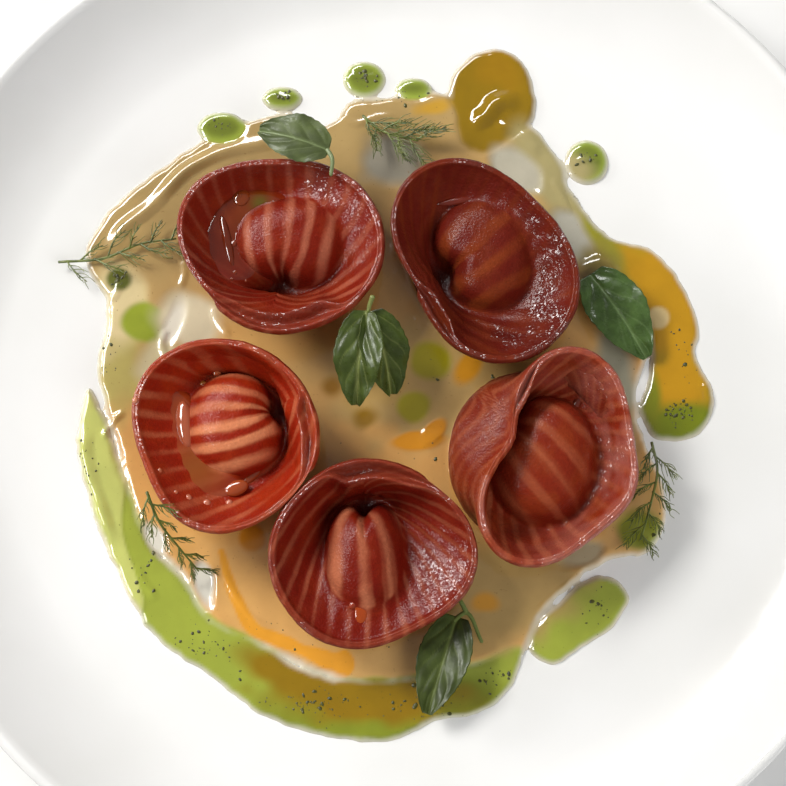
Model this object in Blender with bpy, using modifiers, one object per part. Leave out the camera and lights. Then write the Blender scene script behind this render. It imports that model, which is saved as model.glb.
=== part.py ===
"""Plated filled pasta: five hat-shaped ravioli in a sauce with coloured oils, on a coupe plate.

The plate's centre is the origin, +Z is up and -Y is the side that faces the diner.
Tables are in millimetres and degrees; MM turns them into metres.
"""
import math
import bpy
import bmesh
import numpy as np
from mathutils import Euler, Matrix, Vector

MM = 0.001
GAP = 0.3
SHARP_ANGLE = 40.0

# Plate
PLATE_RADIUS = 140.0
PLATE_HEIGHT = 23.0
WELL_RADIUS = 108.0
WELL_TOP = 5.0
RIM_THICKNESS = 4.0
RIM_ROUND = 1.2
RIM_INSET = 2.5
WALL_SWEEP = 1.7
WALL_SHARES = (0.0, 0.25, 0.5, 0.75, 0.95)
UNDER_SHARES = (0.9, 0.6, 0.3)
FOOT_RADIUS = 76.0
FOOT_WIDTH = 5.0
FOOT_RECESS = 1.6
FOOT_FLARE = 2.0
FOOT_FLARE_HEIGHT = 1.4
PLATE_STEPS = 56

# Pools: what lies on the well starts one gap above it
POOL_BASE = WELL_TOP + GAP
SAUCE_DEPTH = 1.5
OIL_DEPTH = 1.1
CUT_DEPTH = 8.0

# Ravioli: the mesh grid, the dough and the shape that all five share
COLUMNS = 36
BELLY_ROWS = 5
WALL_ROWS = 3
JOIN_DENSITY = 0.45
DOUGH = 2.4
BELLY_SQUARENESS = 2.5
# Belly: how far its last row stops above the crease, the crease and how much of the belly's shift it takes
BELLY_STOP = 0.35
CREASE = 0.6
CREASE_SHIFT = 0.9
# Wall: where it starts outside the belly, its curve, and how much steeper it leaves the finger hole
WALL_START = 1.1
WALL_HOLLOW = 1.2
WALL_CURVE = 1.35
STEEP_SPREAD = 1.6
STEEP_CURVE = 0.75
STEEP_MIDDLE = 0.14
HOLE_SPREAD = 45.0
BACK_SPREAD = 62.0
# Lip: where its two edges are in the dough's thickness, the fold between the wings and their ends
LIP_INNER = 0.72
LIP_OUTER = 0.28
LIP_ROUND = 0.9
EDGE_GROOVE = 0.05
WING_GROOVE = 2.2
WING_SETBACK = 0.6
WING_START_SOFTNESS = 4.0
WING_TIP_SOFTNESS = 2.6
WING_STEP = 1.0
WING_STEP_FADE = 30.0
# Outer wall: how far towards the rim, at which share of the lip's height
OUTER_WALL = ((0.42, 0.70), (0.04, 0.46))
# Base: how far inside the bulge, at which height
BASE_TURN = ((0.1, 4.6), (2.4, 1.7), (6.0, 0.0))
FOOT_INWARD = 2.6
FOOT_CLEARANCE = 0.5
FOOT_SIDES = 20

# Each raviolo: plate position, direction of its join, then its own sizes. Waves are
# (lobes, height, direction from the join) and are added to the mean radius. The notch, where the
# finger hole is, has a depth, a width and a direction from the join.
RAVIOLI = {
    "raviolo_1": dict(
        place=(-30.0, 37.5), join=262, hand=1, tip=48, start=-40, tip_inset=5.5, tip_drop=2.5,
        rim=26.3, rim_waves=((1, 0.9, -161), (2, 1.8, 85), (3, 1.0, 7), (4, 0.4, -16)),
        lip=21.0, lip_waves=((1, 1.5, 0),), bulge=19.5, bulge_waves=(),
        belly_shift=(0.8, 3.0), belly=13.3, belly_waves=((2, 1.6, 90),), belly_top=18.0,
        notch=(3.2, 23, -2), hole_floor=3.5, side_floor=7.5, back_floor=15.0, back_turn=135),
    "raviolo_2": dict(
        place=(24.5, 33.0), join=210, hand=1, tip=36, start=-4, tip_inset=3.4, tip_drop=1.5,
        rim=25.9, rim_waves=((1, 0.6, -159), (2, 4.3, -87), (3, 0.9, 42)),
        lip=21.5, lip_waves=((1, 1.8, 0),), bulge=19.8, bulge_waves=((2, 1.5, -87),),
        belly_shift=(-0.4, 3.8), belly=13.5, belly_waves=((2, 1.4, 90),), belly_top=17.0,
        notch=(4.0, 26, -8), hole_floor=4.0, side_floor=9.0, back_floor=15.0, back_turn=205),
    "raviolo_3": dict(
        place=(-44.5, -14.5), join=20, hand=1, tip=4, start=-43, tip_inset=3.6, tip_drop=1.5,
        rim=25.4, rim_waves=((1, 0.8, 89), (2, 1.2, -83), (3, 0.9, -5), (4, 0.4, -43)),
        lip=20.5, lip_waves=((1, 1.5, 0),), bulge=19.0, bulge_waves=(),
        belly_shift=(2.0, 4.8), belly=13.4, belly_waves=((2, 0.8, 75),), belly_top=18.0,
        notch=(3.2, 20, 2), hole_floor=3.5, side_floor=8.0, back_floor=10.5, back_turn=180),
    "raviolo_4": dict(
        place=(42.5, -21.5), join=133, hand=-1, tip=31, start=12, tip_inset=3.0, tip_drop=0.5,
        rim=23.5, rim_waves=((1, 2.6, -137), (2, 6.0, -64), (3, 1.9, -38), (4, 1.0, 30)),
        lip=21.5, lip_waves=((1, 2.0, 50),),
        bulge=22.8, bulge_waves=((1, 4.9, 22), (2, 1.5, 15), (3, 1.0, -26)),
        belly_shift=(-2.0, 2.4), belly=15.4, belly_waves=((2, 2.0, -56),), belly_top=18.0,
        notch=(3.0, 24, 0), hole_floor=4.5, side_floor=6.5, back_floor=7.0, back_turn=180),
    "raviolo_5": dict(
        place=(-6.0, -46.0), join=90, hand=1, tip=23, start=-38, tip_inset=4.4, tip_drop=2.0,
        rim=25.8, rim_waves=((1, 0.4, -11), (2, 1.6, -80), (3, 0.8, 26), (4, 0.5, -6)),
        lip=19.0, lip_waves=((1, 3.0, 0),), bulge=18.8, bulge_waves=(),
        belly_shift=(-1.6, 1.4), belly=12.4, belly_waves=((2, 2.4, 0),), belly_top=18.5,
        notch=(4.6, 12, 1), hole_floor=3.5, side_floor=7.0, back_floor=14.0, back_turn=180),
}

# Pool outlines on the plate, each point where the edge turns
SAUCE_EDGE = (
    (-86, 41), (-82, 49), (-68, 63), (-53, 73), (-40, 79), (-26, 80), (-21, 77), (-16, 79), (-13, 84),
    (-4, 85), (13, 87), (24, 82), (39, 77), (47, 67), (50, 58), (59, 42), (68, 29), (71, 15), (67, 0),
    (68, -10), (74, -25), (74, -37), (70, -43), (58, -46), (48, -53), (38, -64), (35, -71), (20, -75),
    (-9, -79), (-31, -71), (-51, -61), (-57, -50), (-68, -39), (-73, -25), (-78, -8), (-82, 8), (-80, 20),
    (-80, 27), (-84, 33))
OILS = {
    "oil_crescent": (
        (-84, 2), (-87, -14), (-83, -30), (-74, -51), (-65, -66), (-49, -77), (-36, -87), (-18, -93),
        (0, -94), (12, -89), (23, -87), (32, -79), (35, -70), (20, -74), (-2, -78), (-22, -76), (-36, -68),
        (-51, -60), (-56, -52), (-66, -41), (-72, -27), (-77, -12)),
    "oil_right": (
        (49, 58), (54, 52), (61, 45), (73, 41), (79, 34), (85, 19), (84, 12), (89, -1), (86, -9),
        (79, -13), (72, -12), (68, -5), (71, 6), (71, 18), (66, 30), (54, 44)),
    "oil_top": (
        (16, 86), (18, 94), (24, 99), (32, 100), (38, 94), (39, 78), (33, 73), (24, 69), (20, 72), (18, 80)),
    "oil_lower_right": (
        (52, -51), (61, -51), (64, -56), (61, -62), (50, -70), (42, -74), (37, -71), (38, -64), (45, -57)),
}
# Drops: centre x, centre y, half length, half width
DROPS = {
    "oil_drop_1": (-48.5, 76.5, 7.0, 4.8),
    "oil_drop_2": (-31.4, 85.2, 5.8, 3.6),
    "oil_drop_3": (-8.2, 90.9, 6.2, 5.4),
    "oil_drop_4": (5.8, 88.0, 5.4, 3.4),
    "oil_drop_5": (54.6, 66.5, 6.2, 6.6),
}
DROP_POINTS = 8
POOL_RESOLUTION = 2

# Basil: leaf length and width, where the stalk end is, heading, tilt and roll, and the stalks' points
LEAF_THICKNESS = 0.6
LEAF_LENGTH_CELLS = 9
LEAF_WIDTH_CELLS = 6
# Leaf outline: how far from the tips it starts and ends, and how full it is
LEAF_START = 0.06
LEAF_SPAN = 0.90
LEAF_LEAN = 0.8
LEAF_FULLNESS = 0.75
# Leaf relief: shares of its width or length
LEAF_FOLD = 0.10
LEAF_FOLD_CURVE = 1.3
LEAF_ARCH = 0.10
LEAF_RIPPLE = 0.02
LEAF_RIPPLES = 5.0
STALK_RADIUS = 0.7
STALK_TIP = 0.8
BASIL = {
    "basil_1": dict(
        leaves=((20.0, 13.5, (-17.4, 63.6, 26.4), 163, -4, 6),),
        stalks=(((-17.9, 63.8, 26.5), (-16.5, 61.0, 27.4), (-16.8, 56.6, 26.6)),)),
    "basil_2": dict(
        leaves=((26.0, 13.5, (-7.2, 19.4, 25.0), 264, -22, 14),
                (24.0, 14.0, (-6.2, 19.6, 23.4), 285, -26, -20)),
        stalks=(((-5.4, 22.8, 27.5), (-6.2, 21.0, 25.8), (-7.0, 18.0, 24.2)),)),
    "basil_3": dict(
        leaves=((28.0, 16.5, (54.5, 33.0, 9.8), 303, -3, -4),),
        stalks=()),
    "basil_4": dict(
        leaves=((27.0, 14.0, (17.4, -61.5, 11.0), 252, -2, 5),),
        stalks=(((15.9, -62.9, 10.9), (19.2, -60.4, 11.6), (23.8, -68.0, 9.4)),
                ((19.6, -60.2, 11.5), (18.2, -57.6, 12.6), (16.0, -54.4, 12.4)))),
}

# Dill: the main stem's points, thread count, thread length
THREAD_RADIUS = 0.26
STEM_RADIUS = 0.42
DILL_TIP = 0.6
THREAD_LOWEST = POOL_BASE + SAUCE_DEPTH + 0.8
THREAD_ROOT_SUNK = 0.25
# Threads: lowest and highest angle from the stem, share of the reach, lift and bend
THREAD_ANGLES = (32, 62)
THREAD_LENGTHS = (0.7, 1.0)
THREAD_LIFTS = (0.4, 1.6)
THREAD_BENDS = (8, 22)
THREAD_FALL = 0.6
DILL = {
    "dill_1": dict(
        stem=((-8.5, 79.0, 9.0), (-3.5, 74.5, 9.6), (1.5, 72.5, 10.6), (7.0, 71.0, 11.2)),
        threads=10, reach=10.0, seed=3),
    "dill_2": dict(
        stem=((-93.0, 37.0, 7.9), (-80.0, 38.0, 8.6), (-70.0, 42.0, 9.0), (-60.5, 43.5, 8.6)),
        threads=10, reach=9.0, seed=5),
    "dill_3": dict(
        stem=((-64.5, -30.0, 28.9), (-62.0, -36.5, 26.0), (-57.0, -43.5, 17.0), (-52.5, -49.0, 9.0)),
        threads=10, reach=8.5, seed=8),
    "dill_4": dict(
        stem=((70.5, -14.0, 10.0), (71.5, -22.0, 13.0), (69.5, -31.0, 13.5), (67.0, -40.5, 9.5)),
        threads=10, reach=9.0, seed=11),
}

# Colours, roughness
MATERIALS = {
    "white_glaze": ((0.86, 0.86, 0.84), 0.15),
    "striped_dough": ((0.42, 0.06, 0.025), 0.35),
    "cream_sauce": ((0.72, 0.55, 0.31), 0.25),
    "herb_oil": ((0.34, 0.42, 0.04), 0.1),
    "amber_oil": ((0.62, 0.33, 0.02), 0.1),
    "basil_leaf": ((0.06, 0.12, 0.04), 0.45),
    "dill_green": ((0.09, 0.13, 0.02), 0.5),
}


def bump(turn, centre, width):
    """1 at a centre angle, fading to 0 over the width on both sides; all in degrees."""
    away = (turn - centre + 180.0) % 360.0 - 180.0
    return np.exp(-(away / width) ** 2)


def step(turn, edge, softness):
    """0 before an edge angle and 1 after it, in degrees."""
    return 1.0 / (1.0 + np.exp(-(turn - edge) / softness))


def waves(turn, mean, lobes):
    """A closed curve's radius: a mean with a few named lobes."""
    total = np.full(np.shape(turn), float(mean))
    for count, height, direction in lobes:
        total += height * np.cos(count * np.radians(turn - direction))
    return total


def mix(low, high, share):
    return low + (high - low) * share


def raviolo_rows(spec, turn):
    """The surface as rows from the belly's top over the brim to the foot's rim.

    turn is the angle from the join in degrees. Each row is (radius, height, share of the
    belly's own centre). Between start and tip the two wings of dough overlap.
    """
    hand_turn = (spec["hand"] * turn + 180.0) % 360.0 - 180.0
    notch_depth, notch_width, notch_turn = spec["notch"]
    whole = waves(turn, spec["belly"], spec["belly_waves"])
    belly = whole - notch_depth * bump(turn, notch_turn, notch_width)
    floor = mix(spec["side_floor"], spec["hole_floor"], bump(turn, notch_turn, HOLE_SPREAD))
    floor = mix(floor, spec["back_floor"], bump(turn, spec["back_turn"], BACK_SPREAD))
    rim = waves(turn, spec["rim"], spec["rim_waves"])
    lip = waves(turn, spec["lip"], spec["lip_waves"])
    bulge = waves(turn, spec["bulge"], spec["bulge_waves"])

    overlap = (step(hand_turn, spec["start"], WING_START_SOFTNESS)
               * (1.0 - step(hand_turn, spec["tip"], WING_TIP_SOFTNESS)))
    along_wing = np.clip((hand_turn - spec["start"]) / (spec["tip"] - spec["start"]), 0.0, 1.0)
    inset = mix(DOUGH, spec["tip_inset"], along_wing) * overlap
    inner = rim - inset
    inner_lip = lip - mix(WING_SETBACK, spec["tip_drop"], along_wing) * overlap

    rows = []
    for index in range(1, BELLY_ROWS + 1):
        slope = 0.5 * math.pi * index / (BELLY_ROWS + BELLY_STOP)
        across = math.sin(slope) ** (2.0 / BELLY_SQUARENESS)
        up = math.cos(slope) ** (2.0 / BELLY_SQUARENESS)
        rows.append((belly * across, mix(floor, spec["belly_top"], up), 1.0))
    rows.append((belly + CREASE, floor, CREASE_SHIFT))

    steep = bump(turn, notch_turn, STEEP_SPREAD * notch_width)
    start = whole + WALL_START
    inner_edge = inner - DOUGH
    middle = np.maximum(0.5 * (start + inner_edge), bulge - WALL_HOLLOW * DOUGH)
    middle = mix(middle, mix(start, inner_edge, STEEP_MIDDLE), steep)
    for index in range(1, WALL_ROWS + 1):
        share = index / (WALL_ROWS + 1.0)
        radius = (1 - share) ** 2 * start + 2 * share * (1 - share) * middle + share ** 2 * inner_edge
        height = mix(floor, inner_lip - 1.0, share ** (WALL_CURVE - STEEP_CURVE * steep))
        rows.append((radius, height, CREASE_SHIFT * (1 - share)))

    groove_radius = mix(rim - 0.5 * DOUGH, 0.5 * (inner + rim - DOUGH), overlap)
    groove_height = mix(lip - EDGE_GROOVE, np.minimum(inner_lip, lip) - WING_GROOVE, overlap)
    rows.append((inner_edge, inner_lip - LIP_ROUND, 0.0))
    rows.append((inner - LIP_INNER * DOUGH, inner_lip, 0.0))
    rows.append((groove_radius, groove_height, 0.0))
    rows.append((rim - LIP_OUTER * DOUGH, lip, 0.0))
    before_start = np.clip(spec["start"] - hand_turn, 0.0, 360.0)
    wing_edge = (WING_STEP * (1.0 - step(hand_turn, spec["start"], WING_START_SOFTNESS))
                 * np.exp(-before_start / WING_STEP_FADE))
    rows.append((rim - wing_edge, lip - LIP_ROUND, 0.0))
    for share, up in OUTER_WALL:
        rows.append((mix(bulge, rim - wing_edge, share), up * lip, 0.0))
    for inward, height in BASE_TURN:
        rows.append((bulge - inward, height, 0.0))
    return rows


def spread_columns(position):
    """Angles from the join for evenly counted columns, closer together near the join."""
    return position - np.degrees(JOIN_DENSITY * np.sin(np.radians(position)))


def link(obj, collection, material_name):
    """Puts an object in a collection and gives it its material."""
    collection.objects.link(obj)
    if material_name:
        obj.data.materials.append(bpy.data.materials[material_name])
    return obj


def shade_round(mesh):
    mesh.shade_smooth()
    mesh.set_sharp_from_angle(angle=math.radians(SHARP_ANGLE))


def mesh_object(name, mesh_data, collection, material_name=None):
    mesh = bpy.data.meshes.new(name)
    bmesh.ops.recalc_face_normals(mesh_data, faces=mesh_data.faces)
    mesh_data.to_mesh(mesh)
    mesh_data.free()
    shade_round(mesh)
    return link(bpy.data.objects.new(name, mesh), collection, material_name)


def solid_copy(obj, name, collection, material_name=None):
    """Replaces a curve, or an object with modifiers, by the mesh that it evaluates to."""
    bpy.context.view_layer.update()
    evaluated = obj.evaluated_get(bpy.context.evaluated_depsgraph_get())
    mesh = bpy.data.meshes.new_from_object(evaluated)
    welded = bmesh.new()
    welded.from_mesh(mesh)
    bmesh.ops.remove_doubles(welded, verts=welded.verts, dist=0.001 * MM)
    welded.to_mesh(mesh)
    welded.free()
    shade_round(mesh)
    mesh.materials.clear()
    placement = obj.matrix_world.copy()
    bpy.data.objects.remove(obj)
    copy = bpy.data.objects.new(name, mesh)
    copy.matrix_world = placement
    return link(copy, collection, material_name)


def apply_modifiers(obj):
    bpy.context.view_layer.update()
    evaluated = obj.evaluated_get(bpy.context.evaluated_depsgraph_get())
    mesh = bpy.data.meshes.new_from_object(evaluated)
    obj.modifiers.clear()
    obj.data = mesh
    return obj


def join_pieces(name, pieces, collection, material_name):
    """One Boolean union of several closed pieces; the pieces are then removed."""
    base = pieces[0]
    others = bpy.data.collections.new(name + "_pieces")
    for piece in pieces[1:]:
        others.objects.link(piece)
        collection.objects.unlink(piece)
    union = base.modifiers.new("union", "BOOLEAN")
    union.operation = "UNION"
    union.operand_type = "COLLECTION"
    union.collection = others
    union.solver = "EXACT"
    union.use_self = False
    bpy.context.scene.collection.children.link(others)
    apply_modifiers(base)
    for piece in list(others.objects):
        bpy.data.objects.remove(piece)
    bpy.data.collections.remove(others)
    base.name = name
    base.data.materials.clear()
    base.data.materials.append(bpy.data.materials[material_name])
    return base


def make_materials():
    for name, (colour, roughness) in MATERIALS.items():
        material = bpy.data.materials.new(name)
        material.use_nodes = True
        shader = material.node_tree.nodes["Principled BSDF"]
        shader.inputs["Base Color"].default_value = (*colour, 1.0)
        shader.inputs["Roughness"].default_value = roughness
        shader.inputs["Metallic"].default_value = 0.0


def make_plate(collection):
    """A coupe plate: a flat well, a wall that sweeps up to a rounded rim, and a foot ring."""
    wall = PLATE_RADIUS - WELL_RADIUS
    rise = PLATE_HEIGHT - WELL_TOP
    under = PLATE_HEIGHT - RIM_THICKNESS
    profile = [(0.0, WELL_TOP)]
    for share in WALL_SHARES:
        profile.append((WELL_RADIUS + (wall - RIM_INSET) * share, WELL_TOP + rise * share ** WALL_SWEEP))
    profile.append((PLATE_RADIUS - RIM_ROUND, PLATE_HEIGHT))
    profile.append((PLATE_RADIUS, PLATE_HEIGHT - RIM_ROUND))
    for share in UNDER_SHARES:
        profile.append((WELL_RADIUS + wall * share, under * share ** WALL_SWEEP + RIM_ROUND))
    foot_inside = FOOT_RADIUS - FOOT_WIDTH
    profile += [(FOOT_RADIUS + FOOT_FLARE, FOOT_FLARE_HEIGHT), (FOOT_RADIUS, 0.0), (foot_inside, 0.0),
                (foot_inside - FOOT_RECESS, FOOT_RECESS), (0.0, FOOT_RECESS)]
    outline = bmesh.new()
    points = [outline.verts.new((x * MM, 0.0, z * MM)) for x, z in profile]
    for one, other in zip(points, points[1:]):
        outline.edges.new((one, other))
    mesh = bpy.data.meshes.new("plate")
    outline.to_mesh(mesh)
    outline.free()
    plate = link(bpy.data.objects.new("plate", mesh), collection, "white_glaze")
    turn = plate.modifiers.new("turn", "SCREW")
    turn.steps = PLATE_STEPS
    turn.render_steps = PLATE_STEPS
    turn.use_merge_vertices = True
    turn.merge_threshold = 0.00001
    turn.use_smooth_shade = True
    return plate


def make_raviolo(name, spec, collection):
    """A sphere's grid of rows and columns, moved onto the folded dough's surface."""
    row_count = len(raviolo_rows(spec, np.zeros(1)))
    grid = bmesh.new()
    bmesh.ops.create_uvsphere(grid, u_segments=COLUMNS, v_segments=row_count + 1, radius=1.0)
    shift = Matrix.Rotation(-math.radians(spec["join"]), 2) @ Vector(spec["belly_shift"])
    for vertex in grid.verts:
        row = round(math.acos(max(-1.0, min(1.0, vertex.co.z))) / math.pi * (row_count + 1))
        if row == 0:
            vertex.co = (shift.x, shift.y, spec["belly_top"])
        elif row == row_count + 1:
            vertex.co = (0.0, 0.0, 0.0)
        else:
            turn = spread_columns(math.degrees(math.atan2(vertex.co.y, vertex.co.x)))
            radius, height, share = raviolo_rows(spec, np.array([turn]))[row - 1]
            angle = math.radians(turn)
            vertex.co = (float(radius[0]) * math.cos(angle) + share * shift.x,
                         float(radius[0]) * math.sin(angle) + share * shift.y, float(np.ravel(height)[0]))
    bmesh.ops.scale(grid, verts=grid.verts, vec=(MM, MM, MM))
    raviolo = mesh_object(name, grid, collection, "striped_dough")
    raviolo.location = (spec["place"][0] * MM, spec["place"][1] * MM, POOL_BASE * MM)
    raviolo.rotation_euler = (0.0, 0.0, math.radians(spec["join"]))
    return raviolo


def foot_cutter(spec, cutters):
    """The hole that a raviolo's foot leaves in the sauce."""
    hole = bmesh.new()
    bmesh.ops.create_cone(hole, cap_ends=True, segments=FOOT_SIDES, radius1=1.0, radius2=1.0,
                          depth=CUT_DEPTH * MM)
    for vertex in hole.verts:
        turn = math.degrees(math.atan2(vertex.co.y, vertex.co.x))
        radius = float(waves(turn, spec["bulge"], spec["bulge_waves"])) - FOOT_INWARD + FOOT_CLEARANCE
        flat = Vector((vertex.co.x, vertex.co.y)).normalized() * radius * MM
        vertex.co.x, vertex.co.y = flat.x, flat.y
    cutter = mesh_object("cut_foot", hole, cutters)
    cutter.location = (spec["place"][0] * MM, spec["place"][1] * MM, POOL_BASE * MM)
    cutter.rotation_euler = (0.0, 0.0, math.radians(spec["join"]))
    return cutter


def pool_curve(name, outline, depth, collection, widen=0.0):
    """A closed smooth outline filled and given a thickness."""
    curve = bpy.data.curves.new(name, "CURVE")
    curve.dimensions = "2D"
    curve.fill_mode = "BOTH"
    curve.resolution_u = POOL_RESOLUTION
    curve.extrude = 0.5 * depth * MM
    curve.offset = widen * MM
    spline = curve.splines.new("BEZIER")
    spline.bezier_points.add(len(outline) - 1)
    spline.use_cyclic_u = True
    for point, (x, y) in zip(spline.bezier_points, outline):
        point.co = (x * MM, y * MM, 0.0)
        point.handle_left_type = "AUTO"
        point.handle_right_type = "AUTO"
    obj = bpy.data.objects.new(name, curve)
    obj.location = (0.0, 0.0, (POOL_BASE + 0.5 * depth) * MM)
    collection.objects.link(obj)
    return obj


def drop_outline(x, y, half_length, half_width):
    turns = [2 * math.pi * index / DROP_POINTS for index in range(DROP_POINTS)]
    return [(x + half_length * math.cos(turn), y + half_width * math.sin(turn)) for turn in turns]


def make_pools(collection, cutters):
    """Oils lie beside the sauce, which is cut back round them and round the ravioli's feet."""
    outlines = dict(OILS)
    for name, sizes in DROPS.items():
        outlines[name] = drop_outline(*sizes)
    sauce = pool_curve("sauce", SAUCE_EDGE, SAUCE_DEPTH, collection)
    sauce = solid_copy(sauce, "sauce", collection, "cream_sauce")
    for name, outline in outlines.items():
        colour = "amber_oil" if name in ("oil_right", "oil_top") else "herb_oil"
        solid_copy(pool_curve(name, outline, OIL_DEPTH, collection), name, collection, colour)
        cutter = pool_curve("cut_" + name, outline, CUT_DEPTH, cutters, GAP)
        cutter = solid_copy(cutter, "cut_" + name, cutters)
        cutter.location.z = POOL_BASE * MM
    for spec in RAVIOLI.values():
        foot_cutter(spec, cutters)
    for cutter in cutters.objects:
        cutter.hide_render = True
        cutter.display_type = "WIRE"
        cut = sauce.modifiers.new(cutter.name, "BOOLEAN")
        cut.operation = "DIFFERENCE"
        cut.object = cutter
        cut.solver = "EXACT"


def make_leaf(name, leaf, collection):
    """A grid drawn in to a pointed oval, folded along its midrib, waved and thickened."""
    length, width, place, heading, tilt, roll = leaf
    grid = bmesh.new()
    bmesh.ops.create_grid(grid, x_segments=LEAF_LENGTH_CELLS, y_segments=LEAF_WIDTH_CELLS, size=1.0)
    for vertex in grid.verts:
        along = 0.5 * (vertex.co.x + 1.0)
        side = vertex.co.y
        outline = (LEAF_START + LEAF_SPAN * along) ** LEAF_LEAN
        half = 0.5 * width * math.sin(math.pi * outline) ** LEAF_FULLNESS
        fold = LEAF_FOLD * width * abs(side) ** LEAF_FOLD_CURVE
        arch = LEAF_ARCH * length * math.sin(math.pi * along)
        ripple = LEAF_RIPPLE * length * math.sin(LEAF_RIPPLES * math.pi * along) * side * side
        vertex.co = (length * along, half * side, arch + fold + ripple)
    bmesh.ops.scale(grid, verts=grid.verts, vec=(MM, MM, MM))
    obj = mesh_object(name, grid, collection)
    thick = obj.modifiers.new("thickness", "SOLIDIFY")
    thick.thickness = LEAF_THICKNESS * MM
    thick.offset = 0.0
    apply_modifiers(obj)
    turned = Euler((math.radians(roll), math.radians(-tilt), math.radians(heading))).to_matrix().to_4x4()
    obj.data.transform(Matrix.Translation(Vector(place) * MM) @ turned)
    return obj


def make_tube(name, points, radius, collection, tip):
    """A closed tube through its points, drawn in towards its end."""
    curve = bpy.data.curves.new(name, "CURVE")
    curve.dimensions = "3D"
    curve.bevel_depth = radius * MM
    curve.bevel_resolution = 0
    curve.use_fill_caps = True
    spline = curve.splines.new("POLY")
    spline.points.add(len(points) - 1)
    for index, (point, place) in enumerate(zip(spline.points, points)):
        point.co = (*(Vector(place) * MM), 1.0)
        point.radius = 1.0 + (tip - 1.0) * index / (len(points) - 1)
    obj = bpy.data.objects.new(name, curve)
    collection.objects.link(obj)
    return solid_copy(obj, name, collection)


def make_basil(name, spec, collection):
    pieces = [make_leaf("leaf", leaf, collection) for leaf in spec["leaves"]]
    pieces += [make_tube("stalk", points, STALK_RADIUS, collection, STALK_TIP) for points in spec["stalks"]]
    return join_pieces(name, pieces, collection, "basil_leaf")


def make_dill(name, spec, collection):
    """A stem with thin threads that leave it in turn to both sides."""
    chance = np.random.default_rng(spec["seed"])
    stem = [Vector(point) for point in spec["stem"]]
    pieces = [make_tube("stem", stem, STEM_RADIUS, collection, DILL_TIP)]
    for index in range(spec["threads"]):
        place = (index + 0.6) / spec["threads"] * (len(stem) - 1)
        low = min(int(place), len(stem) - 2)
        root = stem[low].lerp(stem[low + 1], place - low)
        heading = (stem[low + 1] - stem[low]).normalized()
        side = 1.0 if index % 2 else -1.0
        flat = Matrix.Rotation(side * math.radians(chance.uniform(*THREAD_ANGLES)), 3, "Z") @ heading
        reach = spec["reach"] * chance.uniform(*THREAD_LENGTHS)
        lift = chance.uniform(*THREAD_LIFTS)
        middle = root + flat * reach * 0.5 + Vector((0, 0, lift))
        bend = Matrix.Rotation(-side * math.radians(chance.uniform(*THREAD_BENDS)), 3, "Z") @ flat
        end = middle + bend * reach * 0.5 - Vector((0, 0, THREAD_FALL * lift))
        end.z = max(end.z, THREAD_LOWEST)
        middle.z = max(middle.z, THREAD_LOWEST)
        start = root - flat * THREAD_ROOT_SUNK
        pieces.append(make_tube("thread", (start, middle, end), THREAD_RADIUS, collection, DILL_TIP))
    return join_pieces(name, pieces, collection, "dill_green")


def main():
    for obj in list(bpy.data.objects):
        bpy.data.objects.remove(obj)
    parts = bpy.data.collections.new("plated_ravioli")
    cutters = bpy.data.collections.new("cutters")
    bpy.context.scene.collection.children.link(parts)
    bpy.context.scene.collection.children.link(cutters)
    make_materials()
    make_plate(parts)
    make_pools(parts, cutters)
    for name, spec in RAVIOLI.items():
        make_raviolo(name, spec, parts)
    for name, spec in BASIL.items():
        make_basil(name, spec, parts)
    for name, spec in DILL.items():
        make_dill(name, spec, parts)


main()
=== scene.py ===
"""The plated ravioli, dressed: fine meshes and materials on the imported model.

The plate's centre is the origin, +Z is up and -Y is the diner's side.
Tables are in millimetres and degrees, colours in 0 to 255 as a screen shows them.
"""
import math

import bmesh
import bpy
import numpy as np
from mathutils import Euler, Matrix, Vector
from mathutils.bvhtree import BVHTree


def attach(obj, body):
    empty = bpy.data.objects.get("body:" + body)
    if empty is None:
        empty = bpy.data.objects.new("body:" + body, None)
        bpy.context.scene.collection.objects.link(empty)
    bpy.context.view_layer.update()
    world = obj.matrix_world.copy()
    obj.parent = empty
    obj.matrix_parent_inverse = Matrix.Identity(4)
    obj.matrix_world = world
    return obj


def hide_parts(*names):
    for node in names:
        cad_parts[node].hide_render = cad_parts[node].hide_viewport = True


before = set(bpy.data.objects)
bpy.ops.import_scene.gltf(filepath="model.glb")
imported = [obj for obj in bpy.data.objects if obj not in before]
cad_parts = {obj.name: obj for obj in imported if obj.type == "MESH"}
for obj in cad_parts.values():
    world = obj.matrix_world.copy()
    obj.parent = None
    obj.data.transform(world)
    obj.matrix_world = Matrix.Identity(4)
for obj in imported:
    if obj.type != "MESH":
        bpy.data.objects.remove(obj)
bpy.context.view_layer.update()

MM = 0.001
NOISE_VALUES = 4096
NOISE_PRIMES = (73856093, 19349663, 83492791)

# Camera: the photograph looks down on the plate from the diner's side
IMAGE_SIDE = 786
VIEW_TARGET = (0.0, 0.0, 8.0)
VIEW_ELEVATION = 80.0
VIEW_DISTANCE = 550.0
VIEW_HALF_WIDTH = 108.0
SENSOR_WIDTH = 36.0

# How bright a white plate turns out; colours from the photograph are divided by it
LIGHT_LEVEL = 0.95
BRIGHTEST = 0.95

# Plate
PLATE_RADIUS = 140.0
PLATE_HEIGHT = 23.0
WELL_RADIUS = 108.0
WELL_TOP = 5.0
RIM_THICKNESS = 4.0
FOOT_RADIUS = 76.0
FOOT_WIDTH = 5.0
FOOT_RECESS = 1.6
FOOT_ROUND = 0.8
RIM_ROUND = 2.0
COUPE_CURVE = 1.7
UNDERSIDE = 1.2
PLATE_STEPS = 192

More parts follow.
